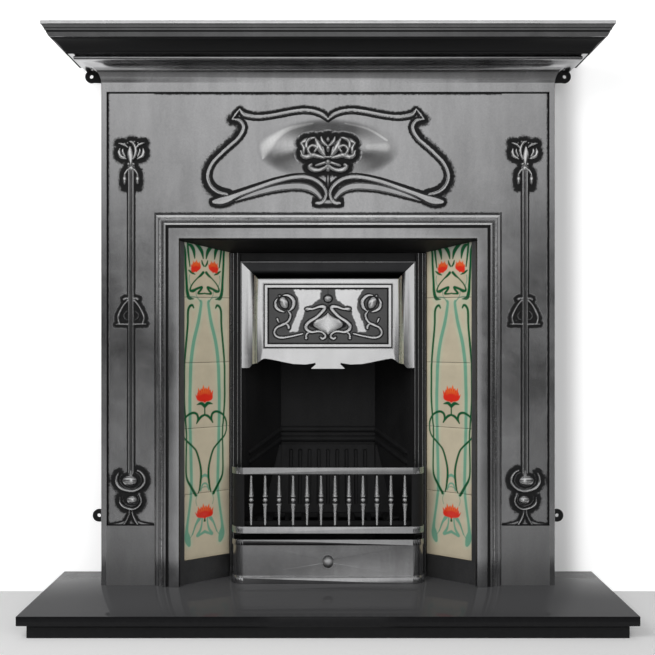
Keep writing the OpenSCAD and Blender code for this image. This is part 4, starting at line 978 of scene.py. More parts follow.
def foot_block(s):
    """Plain raised block at the foot of the leg."""
    r = sizes().arris / MM
    ring = [(FIELD_Y + GROOVE[1], FOOT_Z + GROOVE[0]), (FIELD_Y + GROOVE[1], FOOT_Z)]
    ring += bend(BORDER_Y + r, FOOT_Z - r, r, r, 90, 180, 5)
    ring += [(BORDER_Y, HEARTH_TOP), (PLATE_BACK, HEARTH_TOP), (PLATE_BACK, FOOT_Z + GROOVE[0])]
    return straight_run("foot_block_left" if s < 0 else "foot_block_right", ring, groove_marks(ring),
                        0, (s * (MOULDING_HALF_W - 1), s * (BORDER_IN + 1)))


def casting_shell():
    """The casting's cornice, flanges and back, without the front that the relief pieces make."""
    obj = copy_of_node("front_casting", "casting_shell")
    drop_faces(obj, lambda p: (p[:, 1] < PLATE_BACK + 0.5) & (p[:, 2] < CORNICE_Z - 0.05), any)
    return smooth(obj, flat_faces=True)


# ------------------------------------------------------------------ hood

# the hood's ornament above its foot, for the left half, and its tulips
HOOD_FOOT = 550.0
PANEL_REACH = 11.5
HOOD_HALO = 2.6
HOOD_STROKES = [
    ([(-49, 139.5, 8), (-44, 140, 6.5), (-34, 140.5, 5), (-21, 145, 6), (-11, 145.5, 8), (-7.5, 141.5, 8),
      (-14, 133, 7.5), (-27, 120.5, 7), (-42, 111, 7.5), (-51, 101.5, 8), (-50, 92, 7.5), (-39, 86, 6),
      (-21, 87.5, 5), (-10, 83, 5), (-6, 75, 5.5), (-12.5, 70, 5.5), (-17, 73, 5)], 3.4),
    ([(-94, 136, 3), (-88, 126.5, 5), (-91, 114, 5), (-102, 104.5, 5), (-119, 97, 5), (-125.5, 86, 5),
      (-121.5, 76.5, 5), (-108, 72.5, 5), (-83, 76.5, 4.5), (-60, 82, 4)], 3.0),
    ([(-119, 117, 4), (-117, 112, 4), (-115, 108, 2)], 2.4),
    ([(-110, 103, 3), (-103, 105.5, 4), (-96, 104, 4.5), (-92, 98, 6), (-92.5, 95, 5)], 2.6),
    ([(-51, 71.5, 6), (-51, 77, 5), (-48, 83, 4), (-40, 86, 3)], 2.8),
    ([(-119, 164, 2.5), (-123, 155, 6), (-121.5, 144, 7.5), (-113, 136.5, 6), (-102, 133, 2.5)], 3.0),
    ([(-105, 171.5, 2.5), (-95, 172, 5.5), (-84.5, 165.5, 8), (-80, 155.5, 8.5), (-82.5, 144, 7),
      (-90, 136, 3)], 3.0),
]
HOOD_DOTS = [(-103.5, 154.5, 9.5, 15, 4.0, -24), (-113.5, 170.5, 2.8, 2.8, 2.8, 0),
             (-49, 139.5, 5, 4.6, 3.8, 0)]
# the onion-shaped leaf on the panel's middle, as heights and widths
ONION = [(131.5, 1), (126.6, 11), (120.3, 31), (114.1, 60), (107.8, 72), (103.1, 75), (98.4, 70), (93.7, 53),
         (89, 31), (84.3, 11), (79.6, 1)]
# where the panel's ground is left light, with painted shade round it, on its left half
UNSHADED_GROUND = [(-82, 185), (-16, 185), (-19, 164), (-39, 149), (-54.5, 145), (-56.5, 126.5), (-64.5, 108),
          (-71, 86), (-90, 86), (-80, 111), (-68, 142), (-69, 164), (-77, 177)]
# distances out from the panel's edge: the fillet's foot and outer edge, and where the plain face begins
FILLET = (1.0, 7.0, 10.5)
# the hood's outline, and where its sloping top begins and ends
HOOD_HALF_W, HOOD_TOP, HOOD_SHOULDER, HOOD_BACK = 205.7, 800.7, 761, 16


def outline_gap(x, z, outline):
    """Distance from points to a closed outline, below zero inside it."""
    inside = inside_outline(x, z, outline)
    gap = np.full(x.shape, 1e6)
    ax, az = outline[-1]
    for bx, bz in outline:
        dx, dz = bx - ax, bz - az
        t = np.clip(((x - ax) * dx + (z - az) * dz) / (dx * dx + dz * dz), 0, 1)
        np.minimum(gap, np.hypot(x - ax - t * dx, z - az - t * dz), out=gap)
        ax, az = bx, bz
    return np.where(inside, -gap, gap)


def hood_panel():
    """The sunk panel of the hood in its fillet, with its stems, tulips and onion-shaped leaf, and painted
    shade on its ground.
    """
    foot, fillet, rim = FILLET
    low, high = PANEL_Z[0] - PANEL_REACH, PANEL_Z[1] + PANEL_REACH
    half = PANEL_HALF_W + PANEL_REACH
    xs = lines_with_detail(-half, half, 0.7, 3, (-half, half))
    zs = lines_with_detail(low, high, 0.7, 3, (low, high))
    face = Face(xs, zs)
    for s in (-1, 1):
        for line, rise in HOOD_STROKES:
            lifted = [(-s * x, z + HOOD_FOOT, 1.12 * w) for x, z, w in line]
            face.stroke(curve_through(lifted), rise, "flat", HOOD_HALO)
        for x, z, rx, rz, rise, tilt in HOOD_DOTS:
            face.dot(-s * x, z + HOOD_FOOT, rx, rz, rise, s * tilt, halo=HOOD_HALO)
    face.dot(0, 164 + HOOD_FOOT, 9, 8, 4.0, halo=3.0)
    thin = 0.1
    width = np.interp(face.z, [z + HOOD_FOOT for z, _ in ONION[::-1]], [w / 2 for _, w in ONION[::-1]],
                      left=thin, right=thin)
    near = np.abs(face.x) / np.maximum(width, thin)
    whole = (slice(None), slice(None))
    out = (near - 1) * np.minimum(width, 12) + (width < 0.2) * 20
    face.add(whole, near, out, 4.2, "round", HOOD_HALO, 1.0)
    # painted shade: the ground darkens outside the light outline and off the strokes' tops
    rubbed = np.array(UNSHADED_GROUND, float) + (0, HOOD_FOOT)
    bright = np.minimum(outline_gap(face.x, face.z, rubbed), outline_gap(face.x, face.z, rubbed * (-1, 1)))
    tone = np.clip(0.55 + bright / 7, 0.02, 1) * (1 - np.clip(face.clean * 4, 0, 1))
    # out from the panel's edge: its dark foot, the bright fillet, the dark line outside, and the plain face
    out = np.maximum(np.abs(face.x) - PANEL_HALF_W, np.maximum(PANEL_Z[0] - face.z, face.z - PANEL_Z[1]))
    raised = smoothstep(foot - 1.6, foot, out) - 0.42 * smoothstep(fillet - 0.4, fillet + 0.8, out)
    face.height = np.where(out > -2.5, 4.3 * raised, face.height)
    line = (out > -2.6) & (out < foot - 0.6) | (out > fillet + 0.1) & (out < fillet + 2.4)
    face.dark = np.where(out > -2.6, line * 1.0, face.dark)
    face.clean = np.where(out > -2.6, 0.0, face.clean)
    tone = np.where(out > foot - 1.0, 0.0, tone)
    settle = smoothstep(rim - 1.5, rim, out)
    face.height = face.height * (1 - settle) + 2.0 * settle
    return sheet("hood_panel", face.points(PANEL_Y), patina=face.patina(), tone=tone)


def hood_shell():
    """The hood's ogee sides and scalloped edge, with painted shade on top; its plain panel is cut out."""
    obj = copy_of_node("canopy", "hood")
    reach = PANEL_REACH - 0.2

    def ground(p):
        return ((np.abs(p[:, 0]) < PANEL_HALF_W + reach) & (p[:, 2] > PANEL_Z[0] - reach)
                & (p[:, 2] < PANEL_Z[1] + reach) & (p[:, 1] < PANEL_Y + 0.5))

    def on_top(centre, normal):
        from_side = HOOD_HALF_W - abs(centre.x)
        return (HOOD_TOP - centre.z < from_side and centre.z > HOOD_SHOULDER and normal.y < -0.05
                and centre.y < HOOD_BACK)
    drop_faces(obj, ground)
    set_piece(obj, "bright_iron")
    second_finish(obj, "hood_top", on_top)
    return smooth(obj, 28, flat_faces=True)


# ------------------------------------------------------------------ painted tiles

# how far the drawing's middle lies from a tile's edge by the fire
PAINT_MIDDLE = 69.0
# painted stems over the whole panel: x from the drawing's middle, height over the lowest tile, width
PALE_STEMS = [
    [(11, 604, 6), (10, 596, 7), (17, 556, 8.5), (30, 507, 9), (37, 459, 9), (39, 411, 8.5), (40, 371, 8.5),
     (39, 299, 8), (37, 227, 8), (36, 166, 7.5), (39.5, 130, 6.5), (46, 88, 6.5), (48.5, 66, 9), (47, 54, 15),
     (45, 44, 15), (42, 35, 9)],
    [(33, 58, 3), (24, 80, 5), (15, 93, 9), (10, 99, 6)],
    [(7, 95, 4), (8, 80, 4), (12, 66, 6), (20, 54, 7), (12, 56, 6), (0, 61, 7)],
    [(13, 178, 4), (8, 190, 6), (0, 194, 7)], [(11, 158, 3), (6, 172, 4), (0, 175, 4)],
]
OLIVE_LINES = [
    [(12, 602, 3), (20, 611, 2.6), (34, 614, 2.6), (46, 613, 3)],
    [(12, 604, 2), (22, 616, 2), (24, 628, 2.4)], [(38, 640, 2.2), (42, 652, 2.2), (41, 664, 2.4)],
    [(0, 167, 2.2), (10, 163, 2), (20, 148, 1.8), (24, 136, 1.8), (21, 124, 1.8)],
    [(40, 50, 2), (33, 60, 2), (24, 84, 2)],
]
DARK_STEMS = [
    [(30, 588, 4), (34, 594, 6), (41, 590, 6), (45, 578, 6), (46, 545, 5.5), (51, 495, 5.5), (54.5, 454, 5),
     (55, 411, 5), (55, 372, 5), (52, 330, 4.5), (49, 290, 4), (50, 240, 4), (50, 202, 4.5), (46, 185, 5.5),
     (37, 170, 6.5), (24, 149, 7)],
    [(0, 336, 5), (11, 331, 6.5), (22, 317, 3)],
    [(22, 317, 3), (18, 328, 6), (22, 339, 6), (34, 342, 6), (50, 334, 5), (59, 318, 4.5), (60, 300, 4),
     (55, 285, 4), (43, 273, 5), (31, 262, 4.5), (22, 250, 5), (13, 222, 5.5), (10, 198, 6), (13, 168, 5),
     (17, 154, 3)],
    [(0, 356, 8), (9, 363, 8), (21, 361, 2)], [(0, 356, 3), (0, 338, 3)], [(0, 92, 4), (1, 86, 4)],
    [(60, 742, 3), (53, 722, 6), (51.5, 690, 6), (49, 650, 6.5), (47.5, 628, 8), (43, 612, 9), (35, 609, 5),
     (29, 609, 2)],
    [(46, 744, 4), (45, 722, 6), (40, 684, 3)],
    [(45, 736, 4), (36, 732, 9), (30, 722, 9), (27, 704, 3)],
    [(27, 738, 4), (17, 732, 9), (8, 720, 9), (4, 704, 3)],
    [(8, 699, 3), (6, 692, 5), (2, 686, 4)],
    [(43, 675, 3), (35, 670, 6), (26, 666, 2)],
    [(4, 671, 7), (11, 664, 6), (20, 657, 3.4), (32, 645, 3.4), (38, 635, 4), (38.5, 628, 6), (31, 626, 5),
     (26, 628, 3)],
    [(38, 627, 5), (29, 629, 6.5), (20, 633, 6), (8, 636.5, 6), (11, 630, 6), (18, 622, 5), (10, 621, 4),
     (0, 622, 3.4)],
]
# painted flowers: centre x and height, width, height and lean of the head
PAINTED_FLOWERS = [(0, 110, 52, 34, 0), (0, 386, 50, 40, 0), (26, 686, 30, 28, 24)]
PETALS = (-84, -64, -45, -27, -9, 9, 27, 45, 64, 84)
# grid lines across a tile's face, and how far in from its edge the face begins to fall
TILE_LINES = 112
CUSHION_W = 9


def petal_fan(x, z, cx, cz, wide, tall, lean):
    """How far each point lies in a painted flame-shaped flower's petals, and in their bright tips."""
    foot = (cx - 0.12 * lean, cz - 0.42 * tall)
    body, tips = np.zeros(x.shape), np.zeros(x.shape)
    for i, angle in enumerate(PETALS):
        a = math.radians(angle + lean)
        out = np.array([math.sin(a) * wide / 2, math.cos(a) * tall * 0.92 + (1 - math.cos(a)) * tall * 0.34])
        bow = np.array([math.sin(a) * wide * 0.34, math.cos(a) * tall * 0.42 + tall * 0.06])
        reach = 1.0 if i % 2 else 0.86
        broad = tall * (0.16 + 0.13 * math.cos(a))
        line = np.array([(*foot, 0.8 * broad), (*(foot + bow), broad), (*(foot + out * reach), 0.6)])
        for cover, part, soft in ((body, line, 1.4), (tips, (line[1:] * (1, 1, 0.55) + (0, 0, 0.1)), 2.4)):
            near = line_cover(x, z, curve_through(part), soft)
            if near is not None:
                np.maximum(cover, near, out=cover)
    return body, tips * np.clip((z - foot[1]) / tall * 1.7 - 0.45, 0, 1)


def paint_at(x, z):
    """Colour of the glaze on a tile panel, x from the drawing's middle and z over its lowest tile."""
    c = colours()
    drift = 0.5 + 0.5 * np.sin(x * 0.043 + 1.7) * np.sin(z * 0.011)
    colour = (0.97 + 0.06 * drift)[..., None] * np.array(c.glaze)

    def lay(tone, cover):
        colour[:] = colour * (1 - cover[..., None]) + np.array(tone) * cover[..., None]

    def draw(lines, tone, soft, strength=1.0, widen=0.0):
        for line in lines:
            for s in (-1, 1):
                cover = line_cover(x, z, curve_through(at(line, 0, s)) + (0, 0, widen), soft)
                if cover is not None:
                    lay(tone, cover * strength)

    # pale green ground beside the stems, and a grey wash between the leaves at the head
    draw(PALE_STEMS[:1] + DARK_STEMS[:1] + DARK_STEMS[6:7], c.wash, 9.0, 0.45, 9.0)
    head = np.clip((z - 694) / 30, 0, 1) * np.clip((58 - np.abs(x)) / 8, 0, 1) * 0.6
    lay(np.array(c.wash) * (0.72, 0.70, 0.90), head)
    draw(PALE_STEMS, c.stem, 1.4)
    draw(OLIVE_LINES, tuple(0.8 * v for v in c.stem), 1.2, 0.8)
    draw(DARK_STEMS, c.leaf, 1.2)
    for cx, *rest, lean in PAINTED_FLOWERS:
        for s in (-1, 1) if cx else (1,):
            body, tips = petal_fan(x, z, s * cx, *rest, s * lean)
            lay(c.flower, body)
            lay(c.flame, tips)
    return np.concatenate([colour, np.ones(x.shape + (1,))], axis=-1)


def line_cover(x, z, line, soft):
    """How much a brush line with a soft edge covers the points, or None where it is out of reach."""
    reach = line[:, 2].max()
    low, high = line[:, :2].min(0) - reach, line[:, :2].max(0) + reach
    if x.max() < low[0] or x.min() > high[0] or z.max() < low[1] or z.min() > high[1]:
        return None
    cover = np.zeros(x.shape)
    for (ax, az, aw), (bx, bz, bw) in zip(line[:-1], line[1:]):
        dx, dz = bx - ax, bz - az
        t = np.clip(((x - ax) * dx + (z - az) * dz) / max(dx * dx + dz * dz, 1e-6), 0, 1)
        gap = np.hypot(x - ax - t * dx, z - az - t * dz) - (aw + (bw - aw) * t) / 2
        np.maximum(cover, np.clip(0.5 - gap / soft, 0, 1), out=cover)
    return cover


def tile(side, row):
    """A glazed tile with a cushioned edge; its paint attribute holds its part of the panel's drawing."""
    name = f"{'left' if side < 0 else 'right'}_{row + 1}"
    fall = sizes().cushion / MM
    inner = np.linspace(1.6, TILE_SIDE - 1.6, TILE_LINES)
    rim, rim_depth = np.array([0, 0, 0.5, 1.0]), np.array([TILE_T, 1.2, 0.55, 0.25])
    lines = np.concatenate([rim, inner, TILE_SIDE - rim[::-1]])
    depth = np.concatenate([rim_depth, np.zeros(len(inner)), rim_depth[::-1]])
    u, v = np.meshgrid(lines, lines)
    into = np.maximum(*np.meshgrid(depth, depth))
    edge = np.minimum(np.minimum(u, TILE_SIDE - u), np.minimum(v, TILE_SIDE - v))
    into = np.maximum(into, fall * np.clip(1 - edge / CUSHION_W, 0, 1) ** 2)
    x = TILE_AT[0] + u * math.cos(SPLAY) + into * math.sin(SPLAY)
    y = TILE_AT[1] - u * math.sin(SPLAY) + into * math.cos(SPLAY)
    z = TILE_Z + row * TILE_PITCH + v
    panel_x = u - PAINT_MIDDLE
    colour = paint_at(panel_x, v + row * TILE_PITCH)
    points = np.stack([side * x, y, z], axis=2)
    if side < 0:
        points, colour = points[:, ::-1], colour[:, ::-1]
    obj = sheet("glazed_tile_" + name, points)
    paint = obj.data.color_attributes.new("paint", "FLOAT_COLOR", "POINT")
    paint.data.foreach_set("color", colour.astype(np.float32).ravel())
    edit(obj, lambda: bpy.ops.mesh.fill_holes(sides=0))
    return smooth(obj, 40), "tile_" + name


# ------------------------------------------------------------------ other castings and the hearth

# nodes whose own shape is kept: node, body, finish
SMOOTHED_NODES = [
    ("fireback", "fireplace", "black_iron"), ("cheek_left", "fireplace", "black_iron"),
    ("cheek_right", "fireplace", "black_iron"), ("fluted_back_plate", "fireplace", "black_iron"),
    ("ash_pan_cover", "ash_cover", "polished_iron"),
    ("cover_knob", "ash_cover", "knob_iron"), ("bottom_grate", "bottom_grate", "black_iron"),
]
KEPT_NODES = {
    "shelf_bolts": "dark_iron", "lug_top_left": "black_iron", "lug_top_right": "black_iron",
    "lug_bottom_left": "black_iron", "lug_bottom_right": "black_iron", "lug_bolts": "dark_iron",
    "tile_tray_left": "tray_iron", "tile_tray_right": "tray_iron", "header_plate": "black_iron",
    "arch_screws": "dark_iron", "throat_plate": "black_iron", "damper_flap": "black_iron",
    "damper_spindle": "dark_iron", "damper_ring": "dark_iron", "ash_pan": "pan_steel",
    "ash_pan_handle": "pan_steel",
}
STONE_NODES = ["hearth_slab", "hearth_riser_front", "hearth_riser_back", "hearth_riser_left",
               "hearth_riser_right", "hearth_bearer"]


STONE_ARRIS = 0.0012


def smoothed(name, body, finish):
    """A copy of a CAD node with smooth curves."""
    obj = smooth(copy_of_node(name, name + "_casting"), 30, flat_faces=True)
    return set_piece(obj, finish, body, [name])


# the shelf's seat, its top, and how far it stands out from the casting
SEAT_Z = 1263.0
SHELF_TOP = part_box("mantel_shelf")[1].z / MM
SHELF_OVER = 110.0


def shelf_section():
    """Section of the shelf's edge, out from the casting and up from the seat, and where it is darkened,
    partly blacking in its quirks and partly painted shade on its cove and underside.
    """
    over, rise = SHELF_OVER, SHELF_TOP - SEAT_Z
    points, marks = [(61, 0), (65, 0), (65, 3)], [0.0, 0.8, 1.0]
    for stretch, mark in (
            # the cove: painted shade
            ([(x, z - SEAT_Z) for x, z in bend(over - 0.8, SEAT_Z - 14.7, 45, 45, 154.7, 115.3, 12)], 1.0),
            ([(over - 18.8, 28.5)], 1.0), ([(over - 15.4, 29.3), (over - 10.6, 37.6)], 0.0),
            ([(over - 10.2, 38.2), (over - 10.9, 39.6), (over - 9.8, 41.2)], 1.0),
            ([(over - 8.4, 41.4), (over - 6.6, 44.8)], 0.0),
            ([(over - 6.9, 45.6), (over - 6.3, 46.4)], 1.0),
            ([(over - 5.6, 46.8), (over - 2.4, 52.4)], 0.25),
            ([(over - 2.2, rise - 8.4), (over - 1.6, rise - 7.8)], 1.0),
            ([(over - 0.3, rise - 7.3), (over, rise - 6.6), (over, rise - 1.6), (over - 0.5, rise - 0.5),
              (over - 1.6, rise)], 0.0),
            ([(over - 4, rise), (over - 4, rise - 4), (over - 14, 32), (61, 8)], 0.0)):
        points += stretch
        marks += [mark] * len(stretch)
    return np.array(points, float), np.array(marks)


def mantel_shelf():
    """The shelf: the board as cast, and its moulded edge carried round three sides with a painted highlight
    on its nose.
    """
    def edge(p):
        out = np.maximum(np.abs(p[:, 0]) - HALF_W, BORDER_Y - p[:, 1])
        return (out > 64.4) & (p[:, 2] < SHELF_TOP - 0.05)
    board = copy_of_node("mantel_shelf", "shelf_board")
    drop_faces(board, edge)
    smooth(board, 30, flat_faces=True)
    section, marks = shelf_section()
    u, z = section.T
    stations = [np.stack([s * (HALF_W + u), np.zeros_like(u) if back else BORDER_Y - u, SEAT_Z + z], axis=1)
                for s, back in ((-1, True), (-1, False), (1, False), (1, True))]
    moulding = run("shelf_moulding", np.array(stations), marks)
    for piece in (board, moulding):
        set_piece(piece, "polished_iron", nodes=["mantel_shelf"])

    # the nose takes a painted highlight
    def on_nose(centre, normal):
        out = max(abs(centre.x) - HALF_W, BORDER_Y - centre.y)
        return out > SHELF_OVER - 0.9 and centre.z > SHELF_TOP - 7.5 and abs(normal.z) < 0.8
    second_finish(moulding, "rubbed_nose", on_nose)


# beads on the uprights of the arch plate: distance from the middle and radius
ARCH_BEADS = [(216.3, 2.0), (226.2, 2.4), (232.2, 1.4)]
ARCH_FACE = 17.0
ARCH_OPENING = (206.0, 801.0)
ARCH_TOP = 824.0
ARCH_OUTER = 233.9
# the beads' shared strip lies so far before and behind the plate's face, and starts over the hearth
BEAD_FRONT, BEAD_BACK = ARCH_FACE - 0.3, ARCH_FACE + 0.4
BEAD_FOOT = HEARTH_TOP + 0.2


def rubbed_bead_painted_highlight(x, r):
    """Half round in plan, bright on its crest only: points and how far each is darkened, the sides partly
    blacking and partly painted shade beside the crest's painted highlight.
    """
    points = [(x - 1.2 * r, BEAD_FRONT), *bend(x, BEAD_FRONT, r, r, 180, 360, 12), (x + 1.2 * r, BEAD_FRONT)]
    marks = [1.0, *(0.0 if 60 <= a <= 120 else 1.0 for a in np.linspace(0, 180, 13)), 1.0]
    return points, marks


def arch_plate():
    """The blacked arch plate with rubbed beads up its sides and round its opening, their sides darkened round
    a painted highlight on the crests.
    """
    plate = copy_of_node("arch_plate", "arch_plate_casting")
    drop_faces(plate, lambda p: (p[:, 1] < ARCH_FACE - 0.05) & (p[:, 2] > 170), any)
    smooth(plate, 30, flat_faces=True)
    inner, top = ARCH_OPENING
    pieces = [plate]
    ring, dark = [(inner + 4, BEAD_BACK), (inner + 4, BEAD_FRONT)], [1.0, 1.0]
    for x, r in ARCH_BEADS:
        points, marks = rubbed_bead_painted_highlight(x, r)
        ring, dark = ring + points, dark + marks
    ring, dark = np.array(ring + [(ARCH_OUTER, BEAD_FRONT), (ARCH_OUTER, BEAD_BACK)]), dark + [1.0, 1.0]
    for s, name in ((-1, "arch_beads_left"), (1, "arch_beads_right")):
        pieces.append(straight_run(name, ring * (s, 1), dark, 2, (BEAD_FOOT, ARCH_TOP)))
    points, marks = rubbed_bead_painted_highlight(2.0, 1.7)
    points, marks = points + [(4.0, BEAD_BACK), (0.1, BEAD_BACK)], marks + [1.0, 1.0]
    u, y = np.maximum(np.array(points).T[0], 0.1), np.array(points).T[1]
    foot = np.full_like(u, BEAD_FOOT)
    stations = [np.stack([s * (inner + u), y, z], axis=1)
                for s, z in ((-1, foot), (-1, top + u), (1, top + u), (1, foot))]
    pieces.append(run("arch_edge_bead", np.array(stations), np.array(marks)))
    for piece in pieces:
        finish = "black_iron" if piece is plate else "arch_bead"
        set_piece(piece, finish, nodes=["arch_plate"])


# half of a turned bar of the basket front, as radius and height between the rails
BAR_TURNING = [
    (2.7, 0), (2.9, 20), (3.7, 36), (5.3, 48), (6.3, 52), (6.3, 53.5), (2.2, 55), (2.2, 56), (4.6, 57.5),
    (5.6, 60), (5.6, 63), (4.6, 65.5), (2.2, 67), (2.2, 68), (5.8, 69.5), (6.2, 71.5), (5.0, 77), (4.0, 92),
    (3.1, 112), (2.7, 123)
]
# the bars: heights of their ends, their depth and places, where the end plates begin, flatness and sides
BAR_SPAN = (182.0, 305.0)
BAR_Y = -42.5
BAR_X = [-179.3 + 32.6 * i for i in range(12)]
END_PLATES_X = 186
BAR_FLATNESS = 0.68
BAR_SIDES = 24


def turned_bar(name, x):
    """A turned bar, flattened front to back so that it stays behind the rails' faces."""
    radius, height = np.array(BAR_TURNING, float).T
    angle = np.linspace(0, 2 * math.pi, BAR_SIDES + 1)
    ring = np.stack([np.outer(radius, np.cos(angle)), np.outer(radius, np.sin(angle)) * BAR_FLATNESS,
                     np.repeat((BAR_SPAN[0] + height)[:, None], len(angle), axis=1)], axis=2)
    dark = np.repeat((radius < 2.6) & (np.abs(height - 61) < 10), len(angle)).astype(float)
    return smooth(weld_and_close(sheet(name, ring + (x, BAR_Y, 0), patina=dark)), 40)


def basket_front():
    """The rails with their end plates, whose faces are blacked, and finer turned bars between them."""
    rails = copy_of_node("front_bars", "basket_rails")
    drop_faces(rails, lambda p: (np.abs(p[:, 0]) < END_PLATES_X) & (p[:, 2] > BAR_SPAN[0] + 0.2)
               & (p[:, 2] < BAR_SPAN[1] - 0.2))
    set_piece(rails, "polished_iron", "front_bars", ["front_bars"])
    second_finish(rails, "black_iron", lambda centre, normal: (
        BAR_SPAN[0] + 0.3 < centre.z < BAR_SPAN[1] - 0.3 and abs(normal.z) < 0.5))
    smooth(rails, 30, flat_faces=True)
    for i, x in enumerate(BAR_X):
        set_piece(turned_bar(f"turned_bar_{i + 1}", x), "bright_iron", "front_bars",
                  ["front_bars"])


def stone(name):
    """A sawn and polished stone piece with eased edges."""
    low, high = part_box(name)
    deselect()
    bpy.ops.mesh.primitive_cube_add(size=1, location=(low + high) / 2)
    obj = bpy.context.object
    obj.name = obj.data.name = name + "_stone"
    obj.scale = high - low
    bpy.ops.object.transform_apply(location=True, rotation=True, scale=True)
    eased = obj.modifiers.new("eased_edges", "BEVEL")
    eased.width = STONE_ARRIS
    eased.segments = 3
    bpy.ops.object.modifier_apply(modifier=eased.name)
    smooth(obj, 30)
    return set_piece(obj, "granite", nodes=[name])


# ------------------------------------------------------------------ stage

# the camera and the stage, in metres: the camera's place, the wall, the front of the floor that the iron
# reflects, how far floor and wall reach, and the wall's opening behind the casting
CAMERA_AT = (0, -2.357, 0.650)
BACKDROP_Y = 0.075
FLOOR_FRONT = -0.42
STAGE_REACH = 3
WALL_TOP = 2.6
WALL_GLOW = 0.45
FLOOR_GLOW = 0.13
# over this stretch of x the glow grows from none, beside the casting, to the wall's own: a painted shadow
# beside the casting's right side, over the real one
SHADOW_STRETCH = (0.57, 0.64)
SHADOW_TOP = 1.29
OPENING_X = 0.45
OPENING_TOP = 1.0
# the dark ground behind the firebox and under it, painted shade seen through and under the firebox; the
# floor's half widths in front and behind
RECESS_Y = 0.187
RECESS_FLOOR_X = (0.22, 0.135)
RECESS_FLOOR_Z = 0.001


def white_ground(name, glow, stretch=None):
    """White for the camera and in reflections, darker in shadow; its glow may grow over a stretch of x, which
    paints a shadow where the glow is low.
    """
    material, tree = bare_material(name)
    lit = node(tree, "ShaderNodeBsdfDiffuse", {"Color": (0.92, 0.92, 0.92, 1)})
    shine = node(tree, "ShaderNodeEmission", {"Color": (1, 1, 1, 1), "Strength": glow})
    if stretch:
        apart = node(tree, "ShaderNodeSeparateXYZ")
        join(tree, (node(tree, "ShaderNodeTexCoord").outputs["Object"], apart.inputs[0]),
             (to_range(tree, apart.outputs["X"], *stretch, 0.0, glow, True), shine.inputs["Strength"]))
    both = node(tree, "ShaderNodeAddShader")
    plain = node(tree, "ShaderNodeBsdfDiffuse", {"Color": (0.5, 0.5, 0.5, 1)})
    path = node(tree, "ShaderNodeLightPath")
    seen = calc(tree, "MAXIMUM", path.outputs["Is Camera Ray"],
                calc(tree, "MAXIMUM", path.outputs["Is Glossy Ray"], path.outputs["Is Transmission Ray"]))
    chosen = node(tree, "ShaderNodeMixShader")
    join(tree, (lit.outputs[0], both.inputs[0]), (shine.outputs[0], both.inputs[1]), (seen, chosen.inputs[0]),
         (plain.outputs[0], chosen.inputs[1]), (both.outputs[0], chosen.inputs[2]))
    one_sided(tree, chosen.outputs[0], node(tree, "ShaderNodeOutputMaterial"))
    return material


def one_sided(tree, shader, output):
    """A backdrop seen from behind is left out, so that the fireplace's own back is seen."""
    behind = calc(tree, "MULTIPLY", node(tree, "ShaderNodeLightPath").outputs["Is Camera Ray"],
                  node(tree, "ShaderNodeNewGeometry").outputs["Backfacing"])
    either = node(tree, "ShaderNodeMixShader")
    join(tree, (behind, either.inputs[0]), (shader, either.inputs[1]),
         (node(tree, "ShaderNodeBsdfTransparent").outputs[0], either.inputs[2]),
         (either.outputs[0], output.inputs["Surface"]))


# dark sheets behind and under the firebox: painted shade
def painted_shade_recess():
    material, tree = bare_material("painted_shade_recess")
    shader = node(tree, "ShaderNodeBsdfPrincipled", {"Base Color": (0.01, 0.01, 0.01, 1), "Roughness": 0.9})
    one_sided(tree, shader.outputs[0], node(tree, "ShaderNodeOutputMaterial"))
    return material


def stage_plane(name, material, corners):
    """A plane through four corners: low left, low right, high left, high right."""
    deselect()
    bpy.ops.mesh.primitive_plane_add(size=1)
    obj = bpy.context.object
    obj.name = obj.data.name = name
    for vertex, corner in zip(obj.data.vertices, corners):
        vertex.co = corner
    obj.data.materials.append(material)
    if name != "floor":
        # a backdrop keeps no light from the fireplace's back
        obj.visible_diffuse = obj.visible_shadow = False
        obj.visible_glossy = name.startswith("wall")


def standing(name, material, x, z, y=BACKDROP_Y):
    stage_plane(name, material, [(x[0], y, z[0]), (x[1], y, z[0]), (x[0], y, z[1]), (x[1], y, z[1])])


def lying(name, material, y, half_widths=(STAGE_REACH, STAGE_REACH), z=0):
    front, back = half_widths
    stage_plane(name, material, [(-front, y[0], z), (front, y[0], z), (-back, y[1], z), (back, y[1], z)])


# how bright the room is against the sine of the height angle: all round, and in the strip behind the camera;
# low down and overhead the two are alike
ROOM_LOW = [(-1.0, 0.01), (-0.88, 0.01), (-0.78, 0.22)]
ROOM_HIGH = [(0.48, 0.30), (0.58, 0.04), (0.66, 0.06), (0.70, 0.95), (0.77, 0.95), (0.81, 0.06), (0.90, 0.10),
             (0.95, 0.90)]
ROOM_ROUND = [*ROOM_LOW, (-0.34, 0.26), (-0.23, 0.42), (-0.14, 0.28), (-0.05, 0.05), (0.04, 0.03),
              (0.08, 0.10), (0.115, 0.42), (0.15, 0.80), (0.34, 0.92), *ROOM_HIGH]
ROOM_STRIP = [*ROOM_LOW, (-0.34, 0.40), (-0.26, 0.82), (-0.21, 0.66), (-0.10, 0.96), (0.0, 1.05), (0.10, 1.0),
              (0.19, 0.92), (0.34, 0.90), *ROOM_HIGH]


def room_level(tree, sine, stops):
    """A ramp of greys over the sine of the height angle."""
    level = node(tree, "ShaderNodeValToRGB")
    ramp = level.color_ramp
    while len(ramp.elements) < len(stops):
        ramp.elements.new(0.5)
    for element, (place_on, grey) in zip(ramp.elements, stops):
        element.position = (place_on + 1) / 2
        element.color = (grey, grey, grey, 1)
    join(tree, (to_range(tree, sine, -1, 1, 0, 1), level.inputs[0]))
    return level.outputs[0]


